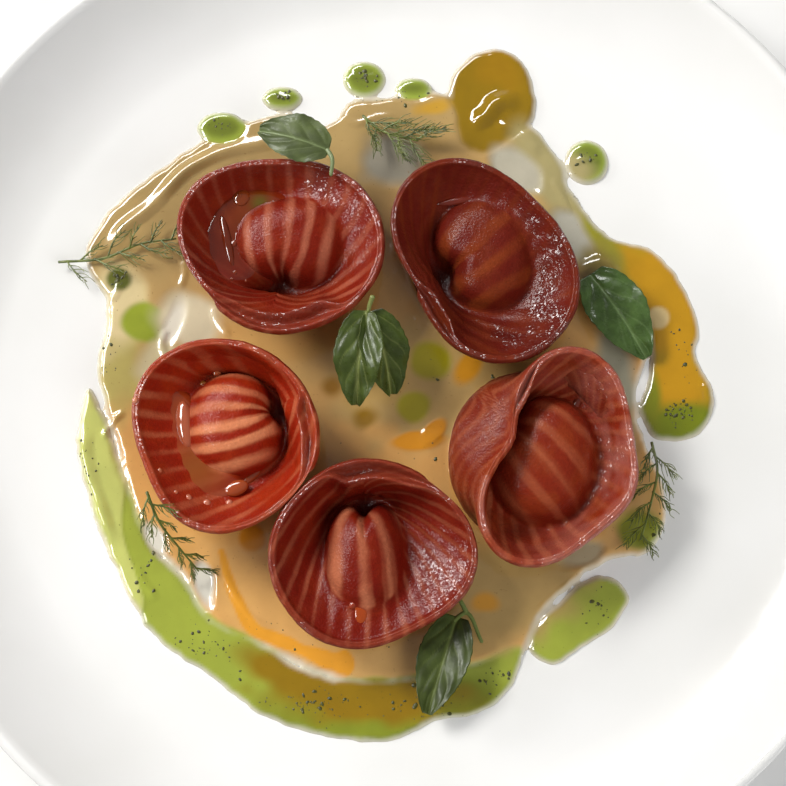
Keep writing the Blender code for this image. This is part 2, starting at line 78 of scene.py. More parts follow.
# Ravioli: the shape that the solids share
POOL_BASE = 5.3
JOIN_DENSITY = 0.45
DOUGH = 2.4
BELLY_ROWS = 5
WALL_ROWS = 3
BELLY_SQUARENESS = 2.5
BELLY_STOP = 0.35
CREASE = 0.6
CREASE_SHIFT = 0.9
CREASE_LIFT = 0.15
HOLE_SPREAD = 45
BACK_SPREAD = 62
WALL_START = 1.1
WALL_HOLLOW = 1.2
WALL_CURVE = 1.35
WALL_TOP_DROP = 1.0
STEEP_SPREAD = 1.6
STEEP_CURVE = 0.75
STEEP_MIDDLE = 0.14
LIP_INNER = 0.72
LIP_OUTER = 0.28
LIP_ROUND = 0.9
EDGE_GROOVE = 0.05
WING_GROOVE = 2.2
WING_SETBACK = 0.6
WING_START_SOFTNESS = 4.0
WING_TIP_SOFTNESS = 2.6
WING_STEP = 1.0
WING_STEP_SOFTNESS = 1.6
WING_STEP_FADE = 30.0
OUTER_WALL = ((0.42, 0.70), (0.04, 0.46))
BASE_TURN = ((0.1, 4.6), (2.4, 1.7), (6.0, 0.0))

# Fine grid: columns round, and rows in each interval of the solid's own rows
COLUMNS = 300
ROW_STEPS = [8] * 5 + [3, 4] + [10] * 4 + [4] * 4 + [7] * 3 + [3] * 3
FIRST_WALL = BELLY_ROWS + 1
FIRST_LIP = FIRST_WALL + WALL_ROWS + 2
LAST_LIP = FIRST_LIP + 4
# Rounding of the crease: smoothing passes and rows reached, all round and then more at the back
CREASE_ROUNDING = (24, 18)
BACK_ROUNDING = (150, 26)
BACK_ROUNDING_SPREAD = 75
HOLE_KEPT = 1.7

RAVIOLI = {
    "raviolo_1": dict(
        place=(-30.0, 37.5), join=262, hand=1, tip=48, start=-40, tip_inset=5.5, tip_drop=2.5,
        rim=26.3, rim_waves=((1, 0.9, -161), (2, 1.8, 85), (3, 1.0, 7), (4, 0.4, -16)),
        lip=21.0, lip_waves=((1, 1.5, 0),), bulge=19.5, bulge_waves=(),
        belly_shift=(0.8, 3.0), belly=13.3, belly_waves=((2, 1.6, 90),), belly_top=18.0,
        notch=(3.2, 23, -2), hole_floor=3.5, side_floor=7.5, back_floor=15.0, back_turn=135),
    "raviolo_2": dict(
        place=(24.5, 33.0), join=210, hand=1, tip=36, start=-4, tip_inset=3.4, tip_drop=1.5,
        rim=25.9, rim_waves=((1, 0.6, -159), (2, 4.3, -87), (3, 0.9, 42)),
        lip=21.5, lip_waves=((1, 1.8, 0),), bulge=19.8, bulge_waves=((2, 1.5, -87),),
        belly_shift=(-0.4, 3.8), belly=13.5, belly_waves=((2, 1.4, 90),), belly_top=17.0,
        notch=(4.0, 26, -8), hole_floor=4.0, side_floor=9.0, back_floor=15.0, back_turn=205),
    "raviolo_3": dict(
        place=(-44.5, -14.5), join=20, hand=1, tip=4, start=-43, tip_inset=3.6, tip_drop=1.5,
        rim=25.4, rim_waves=((1, 0.8, 89), (2, 1.2, -83), (3, 0.9, -5), (4, 0.4, -43)),
        lip=20.5, lip_waves=((1, 1.5, 0),), bulge=19.0, bulge_waves=(),
        belly_shift=(2.0, 4.8), belly=13.4, belly_waves=((2, 0.8, 75),), belly_top=18.0,
        notch=(3.2, 20, 2), hole_floor=3.5, side_floor=8.0, back_floor=10.5, back_turn=180),
    "raviolo_4": dict(
        place=(42.5, -21.5), join=133, hand=-1, tip=31, start=12, tip_inset=3.0, tip_drop=0.5,
        rim=23.5, rim_waves=((1, 2.6, -137), (2, 6.0, -64), (3, 1.9, -38), (4, 1.0, 30)),
        lip=21.5, lip_waves=((1, 2.0, 50),),
        bulge=22.8, bulge_waves=((1, 4.9, 22), (2, 1.5, 15), (3, 1.0, -26)),
        belly_shift=(-2.0, 2.4), belly=15.4, belly_waves=((2, 2.0, -56),), belly_top=18.0,
        notch=(3.0, 24, 0), hole_floor=4.5, side_floor=6.5, back_floor=7.0, back_turn=180),
    "raviolo_5": dict(
        place=(-6.0, -46.0), join=90, hand=1, tip=23, start=-38, tip_inset=4.4, tip_drop=2.0,
        rim=25.8, rim_waves=((1, 0.4, -11), (2, 1.6, -80), (3, 0.8, 26), (4, 0.5, -6)),
        lip=19.0, lip_waves=((1, 3.0, 0),), bulge=18.8, bulge_waves=(),
        belly_shift=(-1.6, 1.4), belly=12.4, belly_waves=((2, 2.4, 0),), belly_top=18.5,
        notch=(4.6, 12, 1), hole_floor=3.5, side_floor=7.0, back_floor=14.0, back_turn=180),
}

# Stripes: on the belly and on the brim a period in mm, a phase and how far the lines spread on the
# two sides; how wide the pale bands are, and how faint on the brim; the slant down the outer wall;
# the two dough colours and their strength; how strong the painted shade is in the finger hole and on
# the outer wall of a flap; and the wet places, each a turn from the join, a spread and a strength,
# with the colour of the painted sheen on them
STRIPES = {
    "raviolo_1": dict(axis=6, belly=(6.2, 0.35), brim=(6.2, 0.35, 0.30, 0.38), wide=(0.64, 0.70), faint=0.6,
                      slant=0.10, red=(116, 28, 14), cream=(176, 102, 76), strength=0.74, hole=0.75,
                      wet=((160, 45, 0.8), (105, 30, 0.5), (-170, 30, 0.5)), painted_sheen=(112, 38, 26)),
    "raviolo_2": dict(axis=16, belly=(8.4, 0.10), brim=(6.0, 0.0, 0.40, 0.35), wide=(0.56, 0.74), faint=0.45,
                      slant=0.10, red=(98, 27, 17), cream=(150, 72, 30), strength=0.42, hole=0.8,
                      wet=((150, 60, 1.0), (100, 50, 1.0)), painted_sheen=(72, 22, 20)),
    "raviolo_3": dict(axis=-14, belly=(5.6, 0.25), brim=(5.6, 0.25, 0.62, 0.50), wide=(0.46, 0.58),
                      faint=0.46, slant=0.08, red=(136, 30, 11), cream=(206, 128, 88), strength=0.90,
                      hole=0.75, wet=((-150, 30, 0.5),), painted_sheen=(120, 40, 16)),
    "raviolo_4": dict(axis=0, belly=(6.9, 0.2), brim=(5.2, 0.5, 0.15, 0.15), wide=(0.58, 0.60), faint=0.85,
                      slant=0.20, red=(124, 38, 20), cream=(172, 94, 62), strength=0.62, hole=0.7, flap_shade=0.22,
                      wet=((-115, 65, 1.0), (160, 40, 0.5)), painted_sheen=(176, 112, 100)),
    "raviolo_5": dict(axis=4, belly=(7.4, 0.28), brim=(5.0, 0.3, 0.33, 0.55), wide=(0.52, 0.66), faint=0.46,
                      slant=0.10, red=(108, 22, 11), cream=(184, 110, 78), strength=0.85, hole=0.35,
                      wet=((-100, 45, 0.7),), painted_sheen=(112, 40, 28)),
}
# Painted shade in the finger hole: the red dough's colour darkened to this share
HOLE_SHADE_TONE = 0.12
BELLY_SPREAD = 0.8
HOLE_PULL = 6.0
BRIM_REACH = 30.0
HOLE_RADIUS_SQUARED = 4.0
CROWDING = 0.03
STRIPES_MEET = 0.6
# Amount and size of the noise in the bands' place, width and strength
BAND_WANDER = (0.16, 11.0)
BAND_SHAKE = (0.04, 2.6)
BAND_WIDENING = (0.14, 15.0)
BAND_FADING = (0.42, 9.0)
BAND_LEVEL = 0.74
BAND_EDGES = (0.38, 0.44)
STREAK_AMOUNT = 0.20
STREAKS_PER_BAND = 7.0
STREAK_LENGTHENING = 0.05
BELLY_SOFTNESS = 1.5
BRIM_SOFTNESS = 1.0
# Painted shade in the finger hole: share of the notch's width, rows below the crease, rows it reaches
HOLE_SHADE = (0.8, 2.0, 6.0)
# Painted shade on a flap's outer wall: it grows in between these distances in mm down from the lip
FLAP_SHADE = (0.5, 5.0)
# Wet patches, which also carry a painted sheen: noise amounts and sizes, and the level at which they start
# and are full
WET_PATCHES = ((0.35, 7.0), (0.25, 2.5))
WET_LEVELS = (-0.3, 0.25)
WET_ROWS = 24
WET_EDGE = 0.75
WET_EDGE_SIZE = 6.0
WET_EDGE_LEVELS = (-0.3, 0.4)
# Relief of the dough in mm
DOUGH_LUMPS = (0.16, 5.0)
DOUGH_GRAIN = (0.06, 1.9)
BAND_RAISED = 0.08
BAND_MIDDLE = 0.4
PLEAT_DEPTH = 0.12
NOISE_APART = 50.0

# Pools
CURVE_STEPS = 6
POOL_STEP = 0.62
POOL_AREA = ((-100.0, 98.0), (-102.0, 106.0))
POOL_FLOOR = WELL_TOP - 0.05
POOL_CREASE = 50.0
POOL_EDGE_HEIGHT = 0.03
UNDER_RAVIOLI = 5.0
OUTLINE_WOBBLE = ((0.35, 4.0, 41), (0.18, 1.8, 42))
JOINING_WIDTH = 2.4
JOINING_RISE = 0.6
THICKNESS_WAVES = ((0.10, 16.0, 43), (0.07, 6.0, 44))
SHOULDER = 2.2
SHOULDER_WANDER = (0.7, 9.0, 46)
# The liquid climbs a little up the ravioli
CLIMB = 0.7
CLIMB_START = 0.6
CLIMB_FADE = 0.8
SAUCE_TOP = 1.75
OIL_TOP = 1.35
SAUCE_EDGE = (
    (-86, 41), (-82, 49), (-68, 63), (-53, 73), (-40, 79), (-26, 80), (-21, 77), (-16, 79), (-13, 84),
    (-4, 85), (13, 87), (24, 82), (39, 77), (47, 67), (50, 58), (59, 42), (68, 29), (71, 15), (67, 0),
    (68, -10), (74, -25), (74, -37), (70, -43), (58, -46), (48, -53), (38, -64), (35, -71), (20, -75),
    (-9, -79), (-31, -71), (-51, -61), (-57, -50), (-68, -39), (-73, -25), (-78, -8), (-82, 8), (-80, 20),
    (-80, 27), (-84, 33))
OILS = {
    "oil_crescent": (
        (-84, 2), (-87, -14), (-83, -30), (-74, -51), (-65, -66), (-49, -77), (-36, -87), (-18, -93),
        (0, -94), (12, -89), (23, -87), (32, -79), (35, -70), (20, -74), (-2, -78), (-22, -76), (-36, -68),
        (-51, -60), (-56, -52), (-66, -41), (-72, -27), (-77, -12)),
    "oil_right": (
        (49, 58), (54, 52), (61, 45), (73, 41), (79, 34), (85, 19), (84, 12), (89, -1), (86, -9),
        (79, -13), (72, -12), (68, -5), (71, 6), (71, 18), (66, 30), (54, 44)),
    "oil_top": (
        (16, 86), (18, 94), (24, 99), (32, 100), (38, 94), (39, 78), (33, 73), (24, 69), (20, 72), (18, 80)),
    "oil_lower_right": (
        (52, -51), (61, -51), (64, -56), (61, -62), (50, -70), (42, -74), (37, -71), (38, -64), (45, -57)),
}
DROPS = {
    "oil_drop_1": (-48.5, 76.5, 7.0, 4.8),
    "oil_drop_2": (-31.4, 85.2, 5.8, 3.6),
    "oil_drop_3": (-8.2, 90.9, 6.2, 5.4),
    "oil_drop_4": (5.8, 88.0, 5.4, 3.4),
    "oil_drop_5": (54.6, 66.5, 6.2, 6.6),
}
AMBER_NODES = ("oil_right", "oil_top")
# Surfaces by slot: material, roughness, how rare the specks are, and their colour
POOL_LOOKS = {
    "cream": ("cream_surface", 0.20, 0.71, (120, 84, 44)),
    "herb_oil": ("green_surface", 0.10, 0.70, (70, 76, 20)),
    "amber_oil": ("amber_surface", 0.10, 0.72, (90, 70, 16)),
}

# Pool colours
CREAM = (200, 160, 98)
CREAM_WARM = (208, 152, 82)
CREAM_PALE = (164, 140, 90)
PLATE_SHOWING = (212, 208, 194)
GREEN_PALE = (186, 190, 104)
GREEN = (150, 160, 58)
GREEN_DEEP = (126, 135, 35)
DROP_RIM = (150, 166, 62)
DROP_GREEN = (100, 110, 36)
AMBER = (182, 134, 18)
AMBER_DEEP = (136, 106, 8)
ORANGE = (206, 134, 30)
OLIVE = (150, 132, 26)
WARM_PATCHES = (0.5, 34.0, 51)
SPOT_UNEVEN = (0.3, 5.0, 47)
STREAK_UNEVEN = (0.25, 4.0, 53)
THIN_EDGE = 1.7

# The first spots show on the oils only
OIL_SPOTS = 11
# The first of them stay off the crescent's pale layer
CRESCENT_SPOTS = 4
# Painted in order on the pools: centre, half sizes, turn, softness, colour, thickness kept
SPOTS = (
    (-55, -62, 26, 9, -38, 6.0, GREEN, 1.0),
    (0, -85, 34, 10, 0, 6.0, GREEN_DEEP, 1.0),
    (-6, -83, 26, 6.5, -2, 5.0, AMBER_DEEP, 1.0),
    (-26, -77, 14, 5, -22, 4.0, AMBER_DEEP, 1.0),
    (75, 27, 17, 17, 0, 9.0, AMBER, 1.0),
    (79, 3, 8, 17, 8, 9.0, AMBER, 1.0),
    (54, 46, 18, 4.2, -52, 2.5, (146, 140, 40), 1.0),
    (78, -10, 14, 6.5, 12, 5.0, (112, 122, 20), 1.0),
    (70, -2, 3.5, 10, 0, 2.5, (120, 124, 24), 1.0),
    (30, 92, 6, 7, 0, 7.0, (150, 112, 8), 1.0),
    (26, 81, 9, 8, 0, 5.0, AMBER_DEEP, 1.0),
    (-76, 12, 8, 16, 0, 8.0, (176, 162, 92), 1.0),
    # Darker, greyer sauce in the middle among the ravioli: partly the sauce's own tone, partly painted shade
    (6, 4, 26, 18, 0, 14.0, (180, 148, 90), 1.0),
    (32, -52, 22, 14, 30, 10.0, (172, 142, 86), 1.0),
    (-38, -48, 16, 12, -40, 8.0, (212, 162, 94), 1.0),
    (-76, 24, 7, 12, 0, 6.0, (206, 188, 140), 0.9),
    (-68.5, 20.0, 6.6, 5.6, 0, 2.0, (140, 152, 42), 0.9),
    (-76.3, 32.5, 3.2, 3.0, 0, 1.8, (92, 96, 36), 1.0),
    (10.2, 9.2, 5.6, 5.2, 0, 2.4, (158, 146, 26), 0.9),
    (5.8, -3.7, 4.6, 4.0, 0, 2.0, (162, 150, 28), 0.9),
    (67.2, -37.6, 6.5, 5.0, 0, 3.0, (140, 146, 50), 0.9),
    (-38.6, -39.8, 3.6, 3.4, 0, 1.4, ORANGE, 1.1),
    (6.5, -13.2, 7.6, 2.6, 4, 1.0, (206, 136, 24), 1.15),
    (11.0, -10.6, 4.2, 2.4, 50, 1.0, (206, 136, 24), 1.15),
    (-17.1, 1.6, 3.0, 2.6, 0, 3.0, (150, 106, 30), 1.0),
    (-7.4, -7.3, 3.4, 2.6, 30, 3.0, (140, 104, 30), 1.0),
    (21.0, 7.5, 5.5, 3.0, 58, 2.0, (200, 138, 34), 1.0),
    (25.0, -57.2, 3.6, 3.0, 0, 2.0, (198, 140, 44), 1.0),
    (11.0, 82.0, 4.5, 2.2, 10, 2.0, (190, 146, 48), 1.0),
    (-51.2, -52.0, 2.6, 6.6, 14, 1.6, PLATE_SHOWING, 0.25),
    (-65.0, -39.4, 2.4, 4.6, 32, 1.6, PLATE_SHOWING, 0.3),
    (-57, 21, 9.5, 7.5, -25, 4.0, (204, 192, 160), 0.7),
    (-60.8, 20.0, 2.6, 7.0, -18, 2.2, (218, 212, 194), 0.6),
    (-64.5, 8.5, 7, 6, 0, 4.0, (194, 182, 142), 0.9),
    (45, 63, 15, 9, -54, 6.0, (160, 148, 100), 0.8),
    (34.5, 64.0, 9.0, 5.0, -42, 3.0, (178, 172, 152), 0.4),
    (50.8, 44.0, 4.2, 9.0, 32, 2.6, (176, 172, 156), 0.35),
    (58.0, 34.0, 6, 9, 30, 6.0, (132, 116, 56), 0.9),
    (62.0, 6.0, 5.0, 14.0, 10, 6.0, (150, 146, 124), 0.5),
    (52.0, -44.0, 6.0, 3.0, 20, 2.5, (164, 150, 118), 0.6),
    (73.8, 21.4, 3.0, 3.2, 0, 1.2, (206, 180, 128), 1.1),
    (-0.5, 67.0, 9.0, 7.0, 0, 5.0, (150, 144, 128), 0.6),
)
# Streaks: points, half width, softness, colour
STREAKS = (
    (((-46.7, -43.6), (-42.8, -55.8), (-37.5, -64.4), (-27.5, -68.7), (-20.2, -71.7), (-14.5, -73.8)),
     (0.9, 1.5, 1.9, 1.6, 1.8, 3.6), 0.8, (216, 148, 40)),
)
# The pale thick layer of the crescent, which ends at a step
PALE_LAYER = ((-72, 4), (-73.2, -25.8), (-73.8, -36.8), (-69.1, -51.5), (-67.3, -58), (-71, -64), (-92, -42),
              (-98, -10), (-92, 8))
PALE_STEP = 0.32
# Raised folds on the pools: points, half width
FOLDS = (
    (((-79.5, 38.5), (-76.6, 45.4), (-67.2, 53.7), (-58.7, 63.3), (-49.5, 68.6), (-36.3, 71.8), (-25, 74)),
     2.4),
    (((20.9, 77.9), (25.4, 79.4), (28.8, 83.5), (32.5, 84.4), (35.9, 81.4)), 3.2),
    (((27.8, 77.3), (35.3, 75.6), (39, 72.5), (42.2, 67.7)), 2.2),
    (((51.7, 36.0), (56.0, 37.6), (61.0, 37.0), (65.7, 32.5)), 1.8),
    (((-80.0, 26.0), (-77.0, 28.0), (-76.0, 32.5)), 1.3),
    (((-50.5, 25.0), (-48.5, 20.5), (-44.6, 15.6)), 1.3),
    (((-84.8, -8), (-84.6, -17), (-82.2, -26), (-78.8, -35), (-75.0, -44)), 2.6),
    (((-79.6, -13), (-77.4, -8), (-73.5, -4.6)), 1.3),
    (((-16.5, 83.5), (-14.6, 79.5), (-11, 77.5), (-4, 79.5), (3, 79)), 1.2),
    (((-13.5, 92.0), (-8.5, 91.4), (-2.5, 92.0)), 1.0),
    (((-35.6, 86.3), (-31, 85.2), (-27, 85.6)), 0.9),
    (((50.5, 66.5), (55, 67.2), (58.5, 66.0)), 1.0),
    (((-59.5, 29), (-58, 34), (-58.5, 38.5)), 1.2),
    (((44, 62), (47.5, 56), (50, 50.5)), 1.2),
    (((-46.5, -46.5), (-43.5, -54), (-39, -60.5), (-32, -66)), 1.2),
    (((38, -60.5), (44, -55.5), (51, -50.0)), 1.2),
    (((85.5, 4), (86.6, -1), (85, -7.5)), 1.7),
    (((-70, -46), (-67.5, -52), (-63.5, -57)), 1.5),
    (((4, -47), (6.5, -50), (10.5, -52)), 1.2),
    (((-62, 9), (-64, 14), (-63, 19)), 1.4),
)
FOLD_HEIGHT = 0.42
FOLD_CREST = 1.1
FOLD_ROUND = 0.04
FOLD_FADE = 0.22
FOLD_UNEVEN = (0.4, 6.0, 45)

# Broth in two cups: surface height, outline of its open water, spots of colour with their radius
BROTH = {
    "raviolo_1": dict(
        level=17.6,
        water=((-50, 33), (-50, 42), (-45, 51), (-36, 53), (-29, 50), (-34, 44), (-38, 38), (-42, 32)),
        spots=((-39.0, 46.0, 9.0, (118, 48, 6)), (-36.6, 51.4, 2.4, (92, 80, 18)),
               # The last spot darkens the dough at the cup's left wall: painted shade
               (-48, 38, 7.0, (88, 26, 10)))),
    "raviolo_3": dict(
        level=17.2,
        water=((-60, -2), (-59, -14), (-56, -23), (-49, -28), (-44, -27), (-50, -20), (-54, -10)),
        spots=((-53.0, -22.0, 8.0, (132, 66, 16)), (-57.0, -6.0, 6.0, (140, 58, 20)))),
}
SHORE_SLOPE = 0.14
BROTH_STEP = 0.45
BROTH_MARGIN = 8.0
BROTH_WAVES = (0.10, 3.5, 71)
BROTH_FILM = 0.05
BROTH_SUNK = 0.4
BROTH_TINT = (0.72, 0.62, 0.45)
BROTH_TINT_DEPTH = 3.0

# Beads and bubbles: pixel of the photograph, half length, half width, turn, height, colour
BEADS = (
    ("raviolo_1", 241, 197, 2.5, 2.5, 0, 0.9, (120, 50, 16)),
    ("raviolo_1", 227, 240, 1.3, 7.5, 13, 1.0, (96, 34, 14)),
    ("raviolo_1", 234, 243, 1.1, 1.0, 0, 0.7, (120, 50, 30)),
    ("raviolo_1", 235, 272, 0.6, 0.6, 0, 0.45, (120, 50, 30)),
    ("raviolo_1", 232, 279, 0.5, 0.4, 0, 0.35, (120, 50, 30)),
    ("raviolo_1", 246, 281, 0.4, 0.4, 0, 0.3, (130, 60, 40)),
    ("raviolo_3", 185, 424, 2.4, 6.6, 8, 1.9, (164, 84, 56)),
    ("raviolo_3", 236, 488, 3.4, 2.2, 20, 1.3, (150, 66, 30)),
    ("raviolo_3", 250, 478, 3.8, 1.2, 40, 0.9, (140, 60, 28)),
    ("raviolo_3", 189, 497, 0.9, 0.8, 0, 0.6, (190, 110, 84)),
    ("raviolo_3", 207, 502, 1.1, 1.0, 0, 0.7, (190, 110, 84)),
    ("raviolo_3", 229, 502, 1.0, 0.9, 0, 0.7, (190, 110, 84)),
    ("raviolo_3", 217, 373, 1.2, 0.9, 20, 0.7, (200, 112, 70)),
    ("raviolo_3", 203, 383, 1.0, 0.8, 0, 0.6, (170, 104, 40)),
    ("raviolo_3", 135, 400, 0.9, 0.8, 0, 0.6, (196, 120, 90)),
    ("raviolo_3", 160, 470, 0.7, 0.6, 0, 0.5, (180, 96, 66)),
    ("raviolo_3", 176, 492, 0.6, 0.6, 0, 0.5, (180, 96, 66)),
    ("raviolo_5", 361, 611, 1.7, 3.2, 0, 0.45, (150, 58, 12)),
    ("raviolo_5", 352, 606, 0.9, 1.1, 0, 0.6, (140, 50, 26)),
    ("raviolo_4", 578, 402, 1.2, 3.2, -30, 0.8, (110, 40, 24)),
    ("raviolo_2", 462, 200, 7.0, 1.2, 10, 0.9, (104, 32, 18)),
)

LONG_BEAD = 2.5
BEAD_SUNK = 0.25
BEAD_UNEVEN = (0.06, 0.9, 81)

# Herb flecks: middle, spread and half their count
FLECKS = (
    ((-84, -20), (3, 12), 14), ((-52, -70), (10, 6), 22), ((-22, -84), (16, 5), 30), ((8, -84), (14, 5), 22),
    ((28, -78), (6, 5), 12), ((79, -5), (4, 5), 22), ((80, 12), (3, 8), 7), ((56, -60), (7, 6), 9),
    ((-76.3, 32.5), (2.5, 2.5), 12), ((-48.5, 76.5), (3, 2), 7), ((-31, 85), (3, 1.5), 6),
    ((-8, 91), (3, 2.5), 10), ((55, 67), (3, 3), 6), ((0, 85), (12, 2), 9), ((72, -36), (3, 4), 6),
    ((-79, 10), (3, 12), 8), ((-66, -50), (5, 9), 10), ((-10, -65), (30, 8), 8), ((0, 10), (50, 50), 14))
FLECK_SMALLEST = 0.17
FLECK_RANGE = 0.55
FLECK_FLATNESS = 0.35
FLECK_COLOURS = ((46, 50, 15), (80, 80, 26))

# Basil and dill as in the solids: leaves are length, width, root, heading, tilt and roll
LEAF_THICKNESS = 0.5
LEAF_ROWS = 61
LEAF_COLUMNS = 41
LEAF_FOLD = 0.10
LEAF_ARCH = 0.10
LEAF_RIPPLE = 0.02
LEAF_SCALLOPS = 60.0
LEAF_SCALLOP_DEPTH = 0.015
LEAF_EDGE_SHARE = 0.25
VEINS = 3.6
VEIN_SLANT = 0.5
VEIN_OFFSET = 0.25
VEIN_STAGGER = 0.12
QUILT_HEIGHT = 0.34
MIDRIB_HALF = 0.42
MIDRIB_DEPTH = 0.35
STALK_RADIUS = 0.7
BASIL = {
    "basil_1": dict(
        leaves=((20.0, 13.5, (-17.4, 63.6, 26.4), 163, -4, 6),),
        stalks=(((-17.9, 63.8, 26.5), (-16.5, 61.0, 27.4), (-16.8, 56.6, 26.6)),),
        leaf=(77, 88, 48), vein=(120, 134, 90), gloss=0.5),
    "basil_2": dict(
        leaves=((26.0, 13.5, (-7.2, 19.4, 25.0), 264, -22, 14),
                (24.0, 14.0, (-6.2, 19.6, 23.4), 285, -26, -20)),
        stalks=(((-5.4, 22.8, 27.5), (-6.2, 21.0, 25.8), (-7.0, 18.0, 24.2)),),
        leaf=(63, 76, 31), vein=(134, 142, 82), gloss=0.3),
    "basil_3": dict(
        leaves=((28.0, 16.5, (54.5, 33.0, 9.8), 303, -3, -4),),
        stalks=(), leaf=(68, 90, 45), vein=(112, 134, 86), gloss=0.22),
    "basil_4": dict(
        leaves=((27.0, 14.0, (17.4, -61.5, 11.0), 252, -2, 5),),
        stalks=(((15.9, -62.9, 10.9), (19.2, -60.4, 11.6), (23.8, -68.0, 9.4)),
                ((19.6, -60.2, 11.5), (18.2, -57.6, 12.6), (16.0, -54.4, 12.4))),
        leaf=(59, 70, 28), vein=(106, 118, 62), gloss=0.45),
}
THREAD_LOWEST = POOL_BASE + 2.3
TWIG_LOWEST = THREAD_LOWEST - 0.4
STEM_RADIUS = 0.42
THREAD_RADIUS = 0.28
THREAD_ROOT = 0.25
THREAD_SWING = (32, 62)
THREAD_LENGTH = (0.7, 1.0)
THREAD_LIFT = (0.4, 1.6)
THREAD_BEND = (8, 22)
THREAD_DROOP = 0.6
TWIG_RADIUS = 0.15
TWIG_SCATTER = (-0.03, 0.03)
TWIG_SWING = (12, 44)
TWIG_LENGTH = (0.25, 0.75)
TWIG_BEND = (-14, 30)
TWIG_RISE = (-0.5, 2.0)
TWIG_KNEE_RISE = (0.0, 0.8)
DILL = {
    "dill_1": dict(stem=((-8.5, 79.0, 9.0), (-3.5, 74.5, 9.6), (1.5, 72.5, 10.6), (7.0, 71.0, 11.2)),
                   threads=10, reach=10.0, seed=3, twigs=18),
    "dill_2": dict(stem=((-93.0, 37.0, 7.9), (-80.0, 38.0, 8.6), (-70.0, 42.0, 9.0), (-60.5, 43.5, 8.6)),
                   threads=10, reach=9.0, seed=5, twigs=9),
    "dill_3": dict(stem=((-64.5, -30.0, 28.9), (-62.0, -36.5, 26.0), (-57.0, -43.5, 17.0),
                         (-52.5, -49.0, 9.0)),
                   threads=10, reach=8.5, seed=8, twigs=13),
    "dill_4": dict(stem=((70.5, -14.0, 10.0), (71.5, -22.0, 13.0), (69.5, -31.0, 13.5), (67.0, -40.5, 9.5)),
                   threads=10, reach=9.0, seed=11, twigs=15),
}
DILL_COLOURS = ((72, 84, 28), (104, 114, 44))

# Lights: place in m, width, height, power, colour, and the kind of ray that doesn't see it
LIGHTS = {
    "key": ((-0.80, 0.55, 0.90), 0.60, 0.32, 15.5, (1.0, 0.98, 0.95), None),
    "window": ((-1.15, 0.45, 0.42), 0.40, 0.25, 6.0, (1.0, 0.98, 0.96), None),
    "fill": ((0.75, -0.60, 0.95), 0.90, 0.90, 9.5, (0.97, 0.98, 1.0), "glossy"),
    "west_glint": ((-1.1, -0.15, 1.0), 0.50, 0.35, 12.0, (1.0, 1.0, 1.0), "diffuse"),
    "north_glint": ((-0.5, 1.0, 1.0), 0.90, 0.30, 17.0, (1.0, 1.0, 1.0), "diffuse"),
}
WORLD_COLOUR = (1.0, 0.985, 0.96, 1.0)
WORLD_STRENGTH = 0.21
FLOOR_HALF = 1.5


# ---------------------------------------------------------------- numbers and noise
def mix(low, high, share):
    return low + (high - low) * share


def bump(turn, centre, width):
    away = (turn - centre + 180.0) % 360.0 - 180.0
    return np.exp(-(away / width) ** 2)


def step(turn, edge, softness):
    return 1.0 / (1.0 + np.exp(-(turn - edge) / softness))


def waves(turn, mean, lobes):
    total = np.full(np.shape(turn), float(mean))
    for count, height, direction in lobes:
        total += height * np.cos(count * np.radians(turn - direction))
    return total


def ease(value, low, high):
    """0 at low, 1 at high, smooth between."""
    share = np.clip((value - low) / (high - low), 0.0, 1.0)
    return share * share * (3.0 - 2.0 * share)


def noise(points, size, seed):
    """Smooth value noise from -1 to 1; features are about size mm across."""
    table = np.random.default_rng(seed).uniform(-1.0, 1.0, NOISE_VALUES)
    scaled = np.asarray(points, float) / size
    cell = np.floor(scaled).astype(np.int64)
    part = scaled - cell
    part = part * part * (3.0 - 2.0 * part)
    total = 0.0
    for corner in np.ndindex(2, 2, 2):
        mixed = (cell + corner) * NOISE_PRIMES
        key = (mixed[..., 0] ^ mixed[..., 1] ^ mixed[..., 2]) % NOISE_VALUES
        total = total + table[key] * np.abs(1 - np.array(corner) - part).prod(-1)
    return total


def uneven(points, amount, size, seed):
    return amount * noise(points, size, seed)


def linear(colour):
    """A colour as the photograph shows it, as the surface colour that turns out like it here."""
    shown = np.asarray(colour, float) / 255.0
    light = np.where(shown <= 0.04045, shown / 12.92, ((shown + 0.055) / 1.055) ** 2.4)
    return np.minimum(light / LIGHT_LEVEL, BRIGHTEST)


